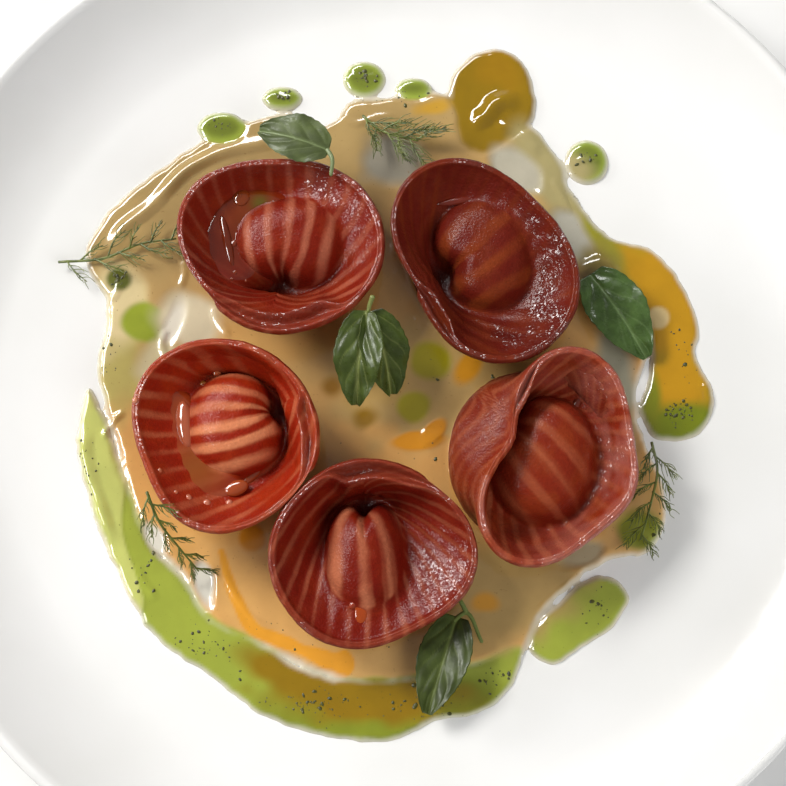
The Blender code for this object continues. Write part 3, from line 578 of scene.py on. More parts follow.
# ---------------------------------------------------------------- materials
class Nodes:
    """A material's node tree with short calls."""

    def __init__(self, name):
        self.material = bpy.data.materials.new(name)
        self.material.use_nodes = True
        self.tree = self.material.node_tree
        self.shader = self.tree.nodes["Principled BSDF"]

    def add(self, kind, links=(), **settings):
        node = self.tree.nodes.new("ShaderNode" + kind)
        for key, value in settings.items():
            setattr(node, key, value)
        for socket, value in links:
            self.feed(node.inputs[socket], value)
        return node

    def feed(self, socket, value):
        if isinstance(value, bpy.types.NodeSocket):
            self.tree.links.new(value, socket)
        elif isinstance(value, (tuple, list, np.ndarray)):
            socket.default_value = (*map(float, value), 1.0)[:len(socket.default_value)]
        else:
            socket.default_value = value

    def place(self):
        return self.add("TexCoord").outputs["Object"]

    def grain(self, size, detail=2.0):
        """Noise with features about size mm across."""
        links = [("Vector", self.place()), ("Scale", 1.0 / (size * MM)), ("Detail", detail)]
        return self.add("TexNoise", links).outputs["Fac"]

    def value(self, name):
        return self.add("Attribute", attribute_name=name).outputs["Fac"]

    def colour(self, name):
        return self.add("Attribute", attribute_name=name).outputs["Color"]

    def math(self, operation, one, other):
        return self.add("Math", [(0, one), (1, other)], operation=operation).outputs[0]

    def vector(self, operation, *links):
        return self.add("VectorMath", links, operation=operation).outputs[0]

    def ramp(self, value, low, high, to_low=0.0, to_high=1.0):
        links = [("Value", value), ("From Min", low), ("From Max", high), ("To Min", to_low),
                 ("To Max", to_high)]
        return self.add("MapRange", links, interpolation_type="SMOOTHSTEP").outputs[0]

    def mix(self, share, one, other, blend="MIX"):
        node = self.add("Mix", data_type="RGBA", blend_type=blend)
        self.feed(node.inputs["Factor"], share)
        self.feed(node.inputs[6], one)
        self.feed(node.inputs[7], other)
        return node.outputs[2]

    def relief(self, height, depth, strength=1.0, below=None):
        links = [("Height", height), ("Distance", depth * MM), ("Strength", strength)]
        if below is not None:
            links.append(("Normal", below))
        return self.add("Bump", links).outputs[0]

    def facets(self, size, strength, below):
        """Small flat facets that lie at random slants, as on a beaded wet surface."""
        links = [("Vector", self.place()), ("Scale", 1.0 / (size * MM))]
        cells = self.add("TexVoronoi", links).outputs["Color"]
        slant = self.vector("SUBTRACT", (0, cells), (1, (0.5, 0.5, 0.5)))
        slant = self.vector("SCALE", (0, slant), ("Scale", strength))
        return self.vector("NORMALIZE", (0, self.vector("ADD", (0, below), (1, slant))))

    def shaded(self, colour, size, low, high):
        """The colour times a noise between low and high."""
        shade = self.ramp(self.grain(size, 4.0), 0.3, 0.7, low, high)
        grey = self.add("CombineColor", [(0, shade), (1, shade), (2, shade)]).outputs[0]
        return self.mix(1.0, colour, grey, "MULTIPLY")

    def finish(self, **inputs):
        for key, value in inputs.items():
            self.feed(self.shader.inputs[key.replace("_", " ")], value)
        return self.material


def dough_material(name, look):
    """Striped dough: patchy red, pale bands, a lighter cut edge, painted shade in the finger hole and on a
    flap's outer wall, and wet places with a painted sheen.
    """
    nodes = Nodes(name)
    stripe = nodes.math("ADD", nodes.value("stripe"),
                        nodes.math("MULTIPLY", nodes.math("SUBTRACT", nodes.grain(1.6, 3.0), 0.5), 0.14))
    share = nodes.ramp(stripe, 0.02, 0.95, 0.0, look["strength"])
    red = linear(look["red"])
    patchy = nodes.mix(nodes.ramp(nodes.grain(7.0), 0.40, 0.68), red, red * np.array((1.15, 1.6, 1.2)))
    colour = nodes.mix(share, patchy, linear(look["cream"]))
    colour = nodes.mix(nodes.math("MULTIPLY", nodes.value("edge"), 0.3), colour,
                       mix(red, linear(look["cream"]), 0.4))
    colour = nodes.shaded(colour, 0.9, 0.92, 1.05)
    # Painted shade: the finger hole and a flap's outer wall darkened towards a deep red
    colour = nodes.mix(nodes.value("deep"), colour, red * HOLE_SHADE_TONE)
    # Painted sheen: the wet places are mixed towards a paler colour that stands in for reflected light, and
    # they also get a glossier coat
    wet = nodes.value("wet")
    colour = nodes.mix(nodes.math("MULTIPLY", wet, 0.5), colour, linear(look["painted_sheen"]))
    lumps = nodes.relief(nodes.grain(2.4, 3.0), 0.30, 0.6)
    grainy = nodes.relief(nodes.grain(0.6, 2.0), 0.16, 0.9, lumps)
    beaded = nodes.facets(0.6, wet, grainy)
    rough = nodes.ramp(nodes.grain(3.0, 3.0), 0.35, 0.7, 0.42, 0.28)
    return nodes.finish(Base_Color=colour, Roughness=rough, Normal=grainy, Coat_IOR=1.7, Coat_Normal=beaded,
                        Coat_Weight=nodes.ramp(wet, 0.0, 1.0, 0.05, 0.8), Coat_Roughness=0.05,
                        Specular_IOR_Level=0.08)


def pool_material(name, roughness, specks, speck_colour):
    """A liquid's wet surface in the piece's own tint, with fine specks."""
    nodes = Nodes(name)
    colour = nodes.shaded(nodes.colour("tint"), 9.0, 0.94, 1.05)
    dots = nodes.ramp(nodes.grain(0.8, 2.0), specks, specks + 0.04)
    colour = nodes.mix(nodes.math("MULTIPLY", dots, 0.5), colour, linear(speck_colour))
    ripple = nodes.relief(nodes.grain(5.0, 2.0), 0.25, 0.35)
    return nodes.finish(Base_Color=colour, Roughness=roughness, Normal=ripple, Coat_Weight=0.7, Coat_IOR=1.6,
                        Coat_Roughness=0.03, Coat_Normal=ripple, Specular_IOR_Level=0.3)


def leaf_material(name, look):
    """A leaf with paler veins and underside."""
    nodes = Nodes(name)
    leaf = linear(look["leaf"])
    patchy = nodes.mix(nodes.ramp(nodes.grain(4.0, 3.0), 0.35, 0.7), leaf * 0.8, leaf * 1.25)
    colour = nodes.mix(nodes.value("vein"), patchy, linear(look["vein"]))
    colour = nodes.mix(nodes.value("under"), colour, linear(look["vein"]))
    cells = nodes.relief(nodes.grain(0.7, 3.0), 0.12, 0.5)
    rough = nodes.ramp(nodes.grain(1.8, 2.0), 0.3, 0.7, look["gloss"] - 0.06, look["gloss"] + 0.12)
    return nodes.finish(Base_Color=colour, Roughness=rough, Normal=cells, Coat_Weight=0.10,
                        Coat_Roughness=0.12, Coat_Normal=cells, Specular_IOR_Level=0.3)


def plain_material(name, colour, other, size, roughness):
    """Two close tones with relief, for small pieces."""
    nodes = Nodes(name)
    tone = nodes.mix(nodes.ramp(nodes.grain(size, 3.0), 0.35, 0.65), linear(colour), linear(other))
    height = nodes.relief(nodes.grain(size * 0.5, 3.0), 0.05, 0.6)
    return nodes.finish(Base_Color=tone, Roughness=roughness, Normal=height)


# ---------------------------------------------------------------- meshes
def new_object(name, data):
    made = bpy.data.objects.new(name, data)
    bpy.context.scene.collection.objects.link(made)
    return made


def make_piece(name, points, faces, material, node=None, slot=None, crisp=None, **attributes):
    """A smooth mesh from points in mm, with float or colour attributes at its points."""
    mesh = bpy.data.meshes.new(name)
    mesh.from_pydata((np.asarray(points) * MM).tolist(), [], [list(map(int, face)) for face in faces])
    mesh.validate()
    tidy = bmesh.new()
    tidy.from_mesh(mesh)
    bmesh.ops.recalc_face_normals(tidy, faces=tidy.faces)
    tidy.to_mesh(mesh)
    tidy.free()
    for key, values in attributes.items():
        values = np.asarray(values, float)
        if values.ndim == 1:
            mesh.attributes.new(key, "FLOAT", "POINT").data.foreach_set("value", values)
        else:
            padded = np.column_stack([values, np.ones(len(values))])
            layer = mesh.color_attributes.new(key, "FLOAT_COLOR", "POINT")
            layer.data.foreach_set("color", padded.ravel())
    mesh.shade_smooth()
    if crisp:
        mesh.set_sharp_from_angle(angle=math.radians(crisp))
    mesh.materials.append(material)
    piece = new_object(name, mesh)
    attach(piece, "root")
    if node:
        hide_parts(node)
    return piece


def grid_faces(rows, columns, start=0, wrap=True):
    faces = []
    for row in range(rows - 1):
        for column in range(columns if wrap else columns - 1):
            after = (column + 1) % columns
            faces.append((start + row * columns + column, start + row * columns + after,
                          start + (row + 1) * columns + after, start + (row + 1) * columns + column))
    return faces


def closed_faces(rows, columns):
    """Faces of a solid made of a first point, rings of points and a last point."""
    last = 1 + (rows - 1) * columns
    first_cap = [(0, 1 + k, 1 + (k + 1) % columns) for k in range(columns)]
    last_cap = [(last + columns, last + (k + 1) % columns, last + k) for k in range(columns)]
    return first_cap + grid_faces(rows, columns, 1) + last_cap


def icosphere(subdivisions):
    """Points and faces of a round ball of radius 1."""
    ball = bmesh.new()
    bmesh.ops.create_icosphere(ball, subdivisions=subdivisions, radius=1.0)
    points = np.array([vertex.co for vertex in ball.verts])
    faces = [[vertex.index for vertex in face.verts] for face in ball.faces]
    ball.free()
    return points, faces


def curve_through(rows, steps):
    """Smooth rows through given rows of points; steps are the counts in each interval."""
    gaps = [np.linalg.norm(after - before, axis=-1, keepdims=True) + 1e-6
            for before, after in zip(rows, rows[1:])]
    slopes = [(rows[1] - rows[0]) / gaps[0]]
    for index in range(1, len(rows) - 1):
        before, after = gaps[index - 1], gaps[index]
        slopes.append((rows[index] - rows[index - 1]) / before * after / (before + after)
                      + (rows[index + 1] - rows[index]) / after * before / (before + after))
    slopes.append((rows[-1] - rows[-2]) / gaps[-1])
    fine = []
    for index, count in enumerate(steps):
        for share in np.arange(count) / count:
            square, cube = share ** 2, share ** 3
            fine.append((2 * cube - 3 * square + 1) * rows[index] + (3 * square - 2 * cube) * rows[index + 1]
                        + (cube - 2 * square + share) * gaps[index] * slopes[index]
                        + (cube - square) * gaps[index] * slopes[index + 1])
    fine.append(rows[-1])
    return np.stack(fine)


def smooth_line(points, count=CURVE_STEPS):
    """A smooth open curve through points."""
    return curve_through([np.asarray(point, float) for point in points], [count] * (len(points) - 1))


def smooth_loop(points):
    """A smooth closed curve through points."""
    line = smooth_line([*points[-1:], *points, *points[:2]])
    return line[CURVE_STEPS:-CURVE_STEPS - 1][:len(points) * CURVE_STEPS]


def raviolo_rows(spec, turn):
    """The same rows as the solid's, from the belly's top over the brim to the foot's rim."""
    hand_turn = (spec["hand"] * turn + 180.0) % 360.0 - 180.0
    depth, width, centre = spec["notch"]
    whole = waves(turn, spec["belly"], spec["belly_waves"])
    belly = whole - depth * bump(turn, centre, width)
    floor = mix(spec["side_floor"], spec["hole_floor"], bump(turn, centre, HOLE_SPREAD))
    floor = mix(floor, spec["back_floor"], bump(turn, spec["back_turn"], BACK_SPREAD))
    rim = waves(turn, spec["rim"], spec["rim_waves"])
    lip = waves(turn, spec["lip"], spec["lip_waves"])
    bulge = waves(turn, spec["bulge"], spec["bulge_waves"])

    overlap = (step(hand_turn, spec["start"], WING_START_SOFTNESS)
               * (1.0 - step(hand_turn, spec["tip"], WING_TIP_SOFTNESS)))
    along_wing = np.clip((hand_turn - spec["start"]) / (spec["tip"] - spec["start"]), 0.0, 1.0)
    inset = mix(DOUGH, spec["tip_inset"], along_wing) * overlap
    inner = rim - inset
    inner_lip = lip - mix(WING_SETBACK, spec["tip_drop"], along_wing) * overlap

    rows = []
    for index in range(1, BELLY_ROWS + 1):
        slope = 0.5 * math.pi * index / (BELLY_ROWS + BELLY_STOP)
        across = math.sin(slope) ** (2.0 / BELLY_SQUARENESS)
        up = math.cos(slope) ** (2.0 / BELLY_SQUARENESS)
        rows.append((belly * across, mix(floor, spec["belly_top"], up), 1.0))
    rows.append((belly + CREASE, floor, CREASE_SHIFT))
    start = whole + WALL_START
    rows.append((start, floor + CREASE_LIFT, CREASE_SHIFT))

    # The wall leaves the finger hole steeply and the other sides gently
    steep = bump(turn, centre, STEEP_SPREAD * width)
    inner_edge = inner - DOUGH
    wall_middle = np.maximum(0.5 * (start + inner_edge), bulge - WALL_HOLLOW * DOUGH)
    wall_middle = mix(wall_middle, mix(start, inner_edge, STEEP_MIDDLE), steep)
    for index in range(1, WALL_ROWS + 1):
        share = index / (WALL_ROWS + 1.0)
        radius = (1 - share) ** 2 * start + 2 * share * (1 - share) * wall_middle + share ** 2 * inner_edge
        height = mix(floor, inner_lip - WALL_TOP_DROP, share ** (WALL_CURVE - STEEP_CURVE * steep))
        rows.append((radius, height, CREASE_SHIFT * (1 - share)))

    groove_radius = mix(rim - 0.5 * DOUGH, 0.5 * (inner + rim - DOUGH), overlap)
    groove_height = mix(lip - EDGE_GROOVE, np.minimum(inner_lip, lip) - WING_GROOVE, overlap)
    rows.append((inner_edge, inner_lip - LIP_ROUND, 0.0))
    rows.append((inner - LIP_INNER * DOUGH, inner_lip, 0.0))
    rows.append((groove_radius, groove_height, 0.0))
    rows.append((rim - LIP_OUTER * DOUGH, lip, 0.0))
    before_start = np.clip(spec["start"] - hand_turn, 0.0, 360.0)
    started = step(hand_turn, spec["start"], WING_STEP_SOFTNESS)
    wing_edge = WING_STEP * (1.0 - started) * np.exp(-before_start / WING_STEP_FADE)
    rows.append((rim - wing_edge, lip - LIP_ROUND, 0.0))
    for share, up in OUTER_WALL:
        rows.append((mix(bulge, rim - wing_edge, share), up * lip, 0.0))
    for inward, height in BASE_TURN:
        rows.append((bulge - inward, height, 0.0))
    return rows


def belly_phase(flat, hole, axis, period, offset):
    """Periods across the belly's stripes: side by side, drawn together into the finger hole."""
    away = flat - hole
    distance = np.sqrt((away ** 2).sum(-1) + HOLE_PULL ** 2)
    turn = np.arctan2(-away[..., 1], -away[..., 0]) - math.radians(axis)
    return distance * np.sin(BELLY_SPREAD * turn) / (BELLY_SPREAD * period) + offset


def brim_phase_at(flat, hole, axis, period, offset, spread_one, spread_other):
    """Periods across the brim's stripes: they leave the finger hole and spread round it."""
    away = flat - hole
    distance = np.sqrt((away ** 2).sum(-1) + HOLE_RADIUS_SQUARED)
    turn = np.arctan2(-away[..., 1], -away[..., 0])
    turn = turn - math.radians(axis) * np.cos(0.5 * turn) ** 2
    spread = np.where(turn > 0, spread_one, spread_other)
    across = distance ** spread * np.sin(spread * turn)
    phase = across / (period * spread * BRIM_REACH ** (spread - 1.0))
    return phase * (1.0 + CROWDING * np.abs(phase)) + offset


def cream_share(phase, place, seed, middle, soft):
    """How much of the pale dough shows, from the phase; bands are uneven and soft."""
    phase = phase + uneven(place, *BAND_WANDER, seed) + uneven(place, *BAND_SHAKE, seed + 1)
    middle = middle + uneven(place, *BAND_WIDENING, seed + 2)
    drawn = np.stack([phase * STREAKS_PER_BAND, STREAK_LENGTHENING * place[..., 0],
                      STREAK_LENGTHENING * place[..., 1]], -1)
    level = 0.5 + 0.5 * np.cos(2 * math.pi * phase) + uneven(drawn, STREAK_AMOUNT, 1.0, seed + 4)
    share = ease(level, middle - BAND_EDGES[0] * soft, middle + BAND_EDGES[1] * soft)
    return share * (BAND_LEVEL + uneven(place, *BAND_FADING, seed + 3))


def make_raviolo(name, spec, look, seed):
    """A raviolo's fine form: the solid's rows made smooth, its stripes, painted shade in the finger hole and
    on a flap's outer wall, wet places with a painted sheen, and relief.
    """
    columns = np.arange(COLUMNS) * 360.0 / COLUMNS - 180.0
    turn = columns - np.degrees(JOIN_DENSITY * np.sin(np.radians(columns)))
    angle = np.radians(turn)
    join = math.radians(spec["join"])
    east, north = spec["belly_shift"]
    shift = np.array([math.cos(join) * east + math.sin(join) * north,
                      -math.sin(join) * east + math.cos(join) * north])
    rows = [np.column_stack([np.full(COLUMNS, value) for value in (*shift, spec["belly_top"])])]
    for radius, height, share in raviolo_rows(spec, turn):
        rows.append(np.column_stack([radius * np.cos(angle) + share * shift[0],
                                     radius * np.sin(angle) + share * shift[1],
                                     np.broadcast_to(height, turn.shape)]))
    steps = ROW_STEPS[:len(rows) - 1]
    fine = curve_through(rows, steps)[1:]
    marks = np.concatenate([[0], np.cumsum(steps)]) - 1
    crease_row = marks[FIRST_WALL]
    row_index = np.arange(len(fine))[:, None]
    _, notch_width, notch_turn = spec["notch"]

    # The belly runs smoothly into the wall, except at the finger hole
    at_back = bump(turn, spec["back_turn"], BACK_ROUNDING_SPREAD)
    for (passes, reach), where in ((CREASE_ROUNDING, 1.0), (BACK_ROUNDING, at_back)):
        rounded = fine.copy()
        for _ in range(passes):
            rounded[1:-1] = 0.25 * rounded[:-2] + 0.5 * rounded[1:-1] + 0.25 * rounded[2:]
        near = np.exp(-((row_index - crease_row) / reach) ** 2) * where
        near = near * (1.0 - bump(turn, notch_turn, HOLE_KEPT * notch_width))
        fine = mix(fine, rounded, near[..., None])

    # Stripes in the plane, unrolled beyond the lip
    flat = fine[..., :2].copy()
    lip_row = marks[LAST_LIP - 1]
    front = int(np.argmin(np.abs(turn - notch_turn)))
    hole = fine[crease_row, front, :2] + np.array([STRIPES_MEET, 0.0])
    seat = fine + np.array([seed * NOISE_APART, 0.0, 0.0])
    wide_belly, wide_brim = look["wide"]
    belly_bands = belly_phase(flat, hole, look["axis"], *look["belly"])
    belly_cream = cream_share(belly_bands, seat, seed, wide_belly, BELLY_SOFTNESS)
    brim_phase = brim_phase_at(flat, hole, look["axis"], *look["brim"])
    drop = np.zeros(fine.shape[:2])
    lengths = np.linalg.norm(np.diff(fine[lip_row:], axis=0), axis=-1)
    drop[lip_row + 1:] = np.cumsum(lengths, axis=0)
    brim_phase[lip_row:] = brim_phase[lip_row] + look["slant"] * drop[lip_row:]
    brim_cream = look["faint"] * cream_share(brim_phase, seat, seed, wide_brim, BRIM_SOFTNESS)
    on_brim = ease(row_index, crease_row - 5, crease_row + 3)
    stripe = mix(belly_cream, brim_cream, on_brim)

    # Painted shade in the finger hole and on a flap's outer wall, the cut edge, and the wet places, which
    # also carry a painted sheen
    width_share, below, reach = HOLE_SHADE
    deep = (look["hole"] * bump(turn, notch_turn, width_share * notch_width)
            * np.exp(-((row_index - crease_row - below) / reach) ** 2))
    deep = np.maximum(deep, look.get("flap_shade", 0.0) * ease(drop, *FLAP_SHADE))
    edge = (ease(row_index, marks[FIRST_LIP], marks[FIRST_LIP + 1])
            * ease(-row_index, -marks[LAST_LIP] - 2, -marks[LAST_LIP - 1]) * np.ones(COLUMNS))
    wet = sum(strength * bump(turn, centre, width) for centre, width, strength in look["wet"])
    wet = np.clip(wet, 0.0, 1.0) * ease(row_index, crease_row, crease_row + WET_ROWS)
    patches = sum(uneven(seat, *patch, seed + number) for number, patch in enumerate(WET_PATCHES, 5))
    wet = wet * ease(patches, *WET_LEVELS)
    wet = np.maximum(wet, WET_EDGE * edge * ease(noise(seat, WET_EDGE_SIZE, seed + 7), *WET_EDGE_LEVELS))

    points = np.concatenate([rows[0][:1], fine.reshape(-1, 3), [[0.0, 0.0, 0.0]]])
    spun = Matrix.Rotation(join, 3, "Z")
    points = points @ np.array(spun).T + np.array([*spec["place"], POOL_BASE])

    def pad(values, first=0.0):
        return np.concatenate([[first], values.ravel(), [0.0]])

    piece = make_piece(name + "_fine", points, closed_faces(len(fine), COLUMNS),
                       dough_material(name + "_dough", look), name, "dough",
                       stripe=pad(stripe, stripe[0].mean()), edge=pad(edge), wet=pad(wet), deep=pad(deep))

    # Relief: uneven dough, slightly raised pale bands, fine creases where the wings meet
    normals = np.empty(len(points) * 3)
    piece.data.vertices.foreach_get("normal", normals)
    wall = pad(ease(row_index, crease_row, crease_row + 12)
               * ease(-row_index, 2 - marks[FIRST_LIP], 14 - marks[FIRST_LIP]) * np.ones(COLUMNS))
    pleat = pad(np.sin(brim_phase * 2.0 * math.pi))
    lift = (uneven(points, *DOUGH_LUMPS, seed) + uneven(points, *DOUGH_GRAIN, seed + 3)
            + BAND_RAISED * (pad(stripe) - BAND_MIDDLE) + PLEAT_DEPTH * pleat * wall)
    above = ease(points[:, 2], POOL_BASE + 1.0, POOL_BASE + 4.0)
    points = points + normals.reshape(-1, 3) * (lift * above)[:, None]
    piece.data.vertices.foreach_set("co", (points * MM).ravel())
    piece.data.update()
    return piece


# ---------------------------------------------------------------- pools
def from_segment(x, y, start, end):
    """How far along a straight piece the nearest point of it is, and its distance squared."""
    (ax, ay), (bx, by) = start, end
    dx, dy = bx - ax, by - ay
    share = np.clip(((x - ax) * dx + (y - ay) * dy) / (dx * dx + dy * dy + 1e-12), 0.0, 1.0)
    return share, (x - ax - share * dx) ** 2 + (y - ay - share * dy) ** 2


def inside(x, y, outline, margin=6.0):
    """Distance to an outline in mm, positive inside it."""
    found = np.full(x.shape, -margin)
    low, high = outline.min(0) - margin, outline.max(0) + margin
    near = (x > low[0]) & (x < high[0]) & (y > low[1]) & (y < high[1])
    px, py = x[near], y[near]
    best = np.full(px.shape, 1e9)
    within = np.zeros(px.shape, bool)
    for start, end in zip(outline, np.roll(outline, -1, axis=0)):
        best = np.minimum(best, from_segment(px, py, start, end)[1])
        (ax, ay), (bx, by) = start, end
        crosses = (ay > py) != (by > py)
        within ^= crosses & (px < (bx - ax) * (py - ay) / (by - ay + 1e-12) + ax)
    best = np.sqrt(best)
    found[near] = np.where(within, best, -np.minimum(best, margin))
    return found


def line_distance(x, y, points):
    """Distance to an open line, and how far along it the nearest point is, in point counts."""
    best = np.full(x.shape, 1e9)
    along = np.zeros(x.shape)
    for index, (start, end) in enumerate(zip(points, points[1:])):
        share, away = from_segment(x, y, start, end)
        along = np.where(away < best, index + share, along)
        best = np.minimum(best, away)
    return np.sqrt(best), along


def drop_loop(x, y, half_length, half_width):
    turn = np.linspace(0.0, 2 * math.pi, 8, endpoint=False)
    return np.column_stack([x + half_length * np.cos(turn), y + half_width * np.sin(turn)])


LOOPS = {name: smooth_loop(points) for name, points in OILS.items()}
LOOPS.update({name: smooth_loop(drop_loop(*sizes)) for name, sizes in DROPS.items()})
SAUCE_LOOP = smooth_loop(SAUCE_EDGE)
PALE_LOOP = smooth_loop(PALE_LAYER)
FOLD_LINES = [(smooth_line(points), half) for points, half in FOLDS]


class Pools:
    """Shape and colour of all liquids at given places."""

    def __init__(self, x, y):
        self.x, self.y = x, y
        self.flat = np.stack([x, y, np.zeros_like(x)], -1)
        wobble = sum(uneven(self.flat, *wave) for wave in OUTLINE_WOBBLE)
        self.oil = {name: inside(x, y, loop) + (0.0 if name in DROPS else wobble)
                    for name, loop in LOOPS.items()}
        self.any_oil = np.max(list(self.oil.values()), axis=0)
        sauce = inside(x, y, SAUCE_LOOP) + wobble
        top, low = np.maximum(sauce, self.any_oil), np.minimum(sauce, self.any_oil)
        blend = np.clip(1.0 - (top - low) / JOINING_WIDTH, 0.0, 1.0)
        self.union = top + JOINING_RISE * blend ** 2

    def heights(self):
        """Thickness above the well."""
        cream = ease(-self.any_oil, -0.2, 1.4)
        thick = mix(OIL_TOP, SAUCE_TOP, cream)
        thick = thick + sum(uneven(self.flat, *wave) for wave in THICKNESS_WAVES)
        for cx, cy, long, wide, turn, soft, _, kept in SPOTS:
            if kept != 1.0:
                thick = thick * mix(1.0, kept, self.spot(cx, cy, long, wide, turn, soft))
        pale = inside(self.x, self.y, PALE_LOOP)
        thick = thick + PALE_STEP * ease(pale, -0.5, 0.5) * (self.oil["oil_crescent"] > -1.0)
        for line, half in FOLD_LINES:
            thick = thick + self.fold(line, half)
        shoulder = SHOULDER + uneven(self.flat, *SHOULDER_WANDER)
        reach = np.clip(self.union / shoulder, 0.0, 1.0)
        return POOL_EDGE_HEIGHT + thick * (1.0 - (1.0 - reach) ** 2) ** 0.8

    def fold(self, line, half):
        """Height of a smooth ridge along a line, fading out at both ends."""
        near = ((self.x > line[:, 0].min() - half) & (self.x < line[:, 0].max() + half)
                & (self.y > line[:, 1].min() - half) & (self.y < line[:, 1].max() + half))
        raised = np.zeros(self.x.shape)
        if near.any():
            away, along = line_distance(self.x[near], self.y[near], line)
            end = np.minimum(along, len(line) - 1 - along) / (len(line) - 1)
            across = np.clip(FOLD_CREST - np.sqrt((away / half) ** 2 + FOLD_ROUND), 0.0, 1.0)
            rise = 1.0 + uneven(self.flat[near], *FOLD_UNEVEN)
            raised[near] = FOLD_HEIGHT * half * rise * across * ease(end, 0.0, FOLD_FADE)
        return raised

    def spot(self, cx, cy, long, wide, turn, soft):
        """1 inside an uneven oval and 0 outside it."""
        angle = math.radians(turn)
        dx, dy = self.x - cx, self.y - cy
        u = (dx * math.cos(angle) + dy * math.sin(angle)) / long
        v = (dy * math.cos(angle) - dx * math.sin(angle)) / wide
        away = (1.0 - np.sqrt(u * u + v * v)) * min(long, wide)
        away = away + soft * uneven(self.flat, *SPOT_UNEVEN)
        return ease(away, -0.5 * soft, 0.5 * soft)

    def colours(self):
        """Surface colour at each place, painted from the sauce up to the spots and streaks."""
        tint = np.ones((len(self.x), 3)) * linear(CREAM)

        def paint(share, colour):
            nonlocal tint
            tint = mix(tint, linear(colour), np.clip(share, 0.0, 1.0)[:, None])
        paint(0.5 + uneven(self.flat, *WARM_PATCHES), CREAM_WARM)
        paint(0.85 * ease(self.y - 0.6 * self.x, 20.0, 80.0), CREAM_PALE)
        crescent = self.oil["oil_crescent"]
        soft = ease(crescent, -1.4, 1.6)
        paint(soft, GREEN_PALE)
        pale = ease(inside(self.x, self.y, PALE_LOOP), -0.4, 0.4)
        paint(soft * (1.0 - pale), GREEN)
        for name, colour in (("oil_right", OLIVE), ("oil_top", AMBER_DEEP), ("oil_lower_right", GREEN)):
            paint(ease(self.oil[name], -1.2, 1.4), colour)
        for name in DROPS:
            paint(ease(self.oil[name], -0.6, 0.6), DROP_RIM)
            paint(0.85 * ease(self.oil[name], 0.3, 3.2), DROP_GREEN)
        oil_share = ease(self.any_oil, -1.0, 1.0)
        for index, (cx, cy, long, wide, turn, soft_edge, colour, _) in enumerate(SPOTS):
            share = self.spot(cx, cy, long, wide, turn, soft_edge)
            if index < OIL_SPOTS:
                share = share * oil_share * (1.0 - pale if index < CRESCENT_SPOTS else 1.0)
            paint(share, colour)
        for points, halves, soft_edge, colour in STREAKS:
            away, along = line_distance(self.x, self.y, smooth_line(points))
            half = np.interp(along / CURVE_STEPS, np.arange(len(halves)), halves)
            half = half * (1.0 + uneven(self.flat, *STREAK_UNEVEN))
            paint(ease(half - away, -0.5 * soft_edge, 0.5 * soft_edge), colour)
        # Thin edges let the plate show through
        paint(0.75 * ease(THIN_EDGE - self.union, 0.0, THIN_EDGE), PLATE_SHOWING)
        return tint


def foot_distance(x, y):
    """Distance outside the nearest raviolo's foot."""
    best = np.full(x.shape, 1e9)
    for spec in RAVIOLI.values():
        dx, dy = x - spec["place"][0], y - spec["place"][1]
        turn = np.degrees(np.arctan2(dy, dx)) - spec["join"]
        best = np.minimum(best, np.hypot(dx, dy) - waves(turn, spec["bulge"], spec["bulge_waves"]))
    return best


def clip_grid(level, x, y):
    """Triangles of a grid where level is above 0, with their edge on the zero line."""
    rows, columns = level.shape
    index = np.arange(rows * columns).reshape(rows, columns)
    corners = (index[:-1, :-1], index[:-1, 1:], index[1:, 1:], index[1:, :-1])
    a, b, c, d = (corner.ravel() for corner in corners)
    triangles = np.concatenate([np.column_stack([a, b, c]), np.column_stack([a, c, d])])
    level, x, y = level.ravel(), x.ravel(), y.ravel()
    positive = level[triangles] > 0
    count = positive.sum(1)
    points = list(zip(x, y))
    cut = {}

    def crossing(one, other):
        key = (min(one, other), max(one, other))
        if key not in cut:
            share = level[key[0]] / (level[key[0]] - level[key[1]])
            share = min(max(share, 0.04), 0.96)
            cut[key] = len(points)
            points.append((mix(x[key[0]], x[key[1]], share), mix(y[key[0]], y[key[1]], share)))
        return cut[key]

    faces = triangles[count == 3].tolist()
    for number in (1, 2):
        for triangle, signs in zip(triangles[count == number].tolist(), positive[count == number].tolist()):
            odd = signs.index(number == 1)
            p, q, r = triangle[odd], triangle[(odd + 1) % 3], triangle[(odd + 2) % 3]
            if number == 1:
                faces.append([p, crossing(p, q), crossing(p, r)])
            else:
                faces.append([crossing(p, q), q, r])
                faces.append([crossing(p, q), r, crossing(p, r)])
    used, packed = np.unique(np.array(faces).ravel(), return_inverse=True)
    return np.array(points)[used], packed.reshape(-1, 3)


def close_below(points, faces, floor):
    """Closes an open surface with walls and a flat underside."""
    count = len(points)
    bottom = points.copy()
    bottom[:, 2] = floor
    edges = np.concatenate([faces[:, [0, 1]], faces[:, [1, 2]], faces[:, [2, 0]]])
    keys = np.sort(edges, axis=1)
    _, first, times = np.unique(keys[:, 0] * count + keys[:, 1], return_index=True, return_counts=True)
    rim = edges[first[times == 1]]
    walls = np.column_stack([rim[:, 1], rim[:, 0], rim[:, 0] + count, rim[:, 1] + count])
    everything = faces.tolist() + (faces[:, ::-1] + count).tolist() + walls.tolist()
    return np.concatenate([points, bottom]), everything


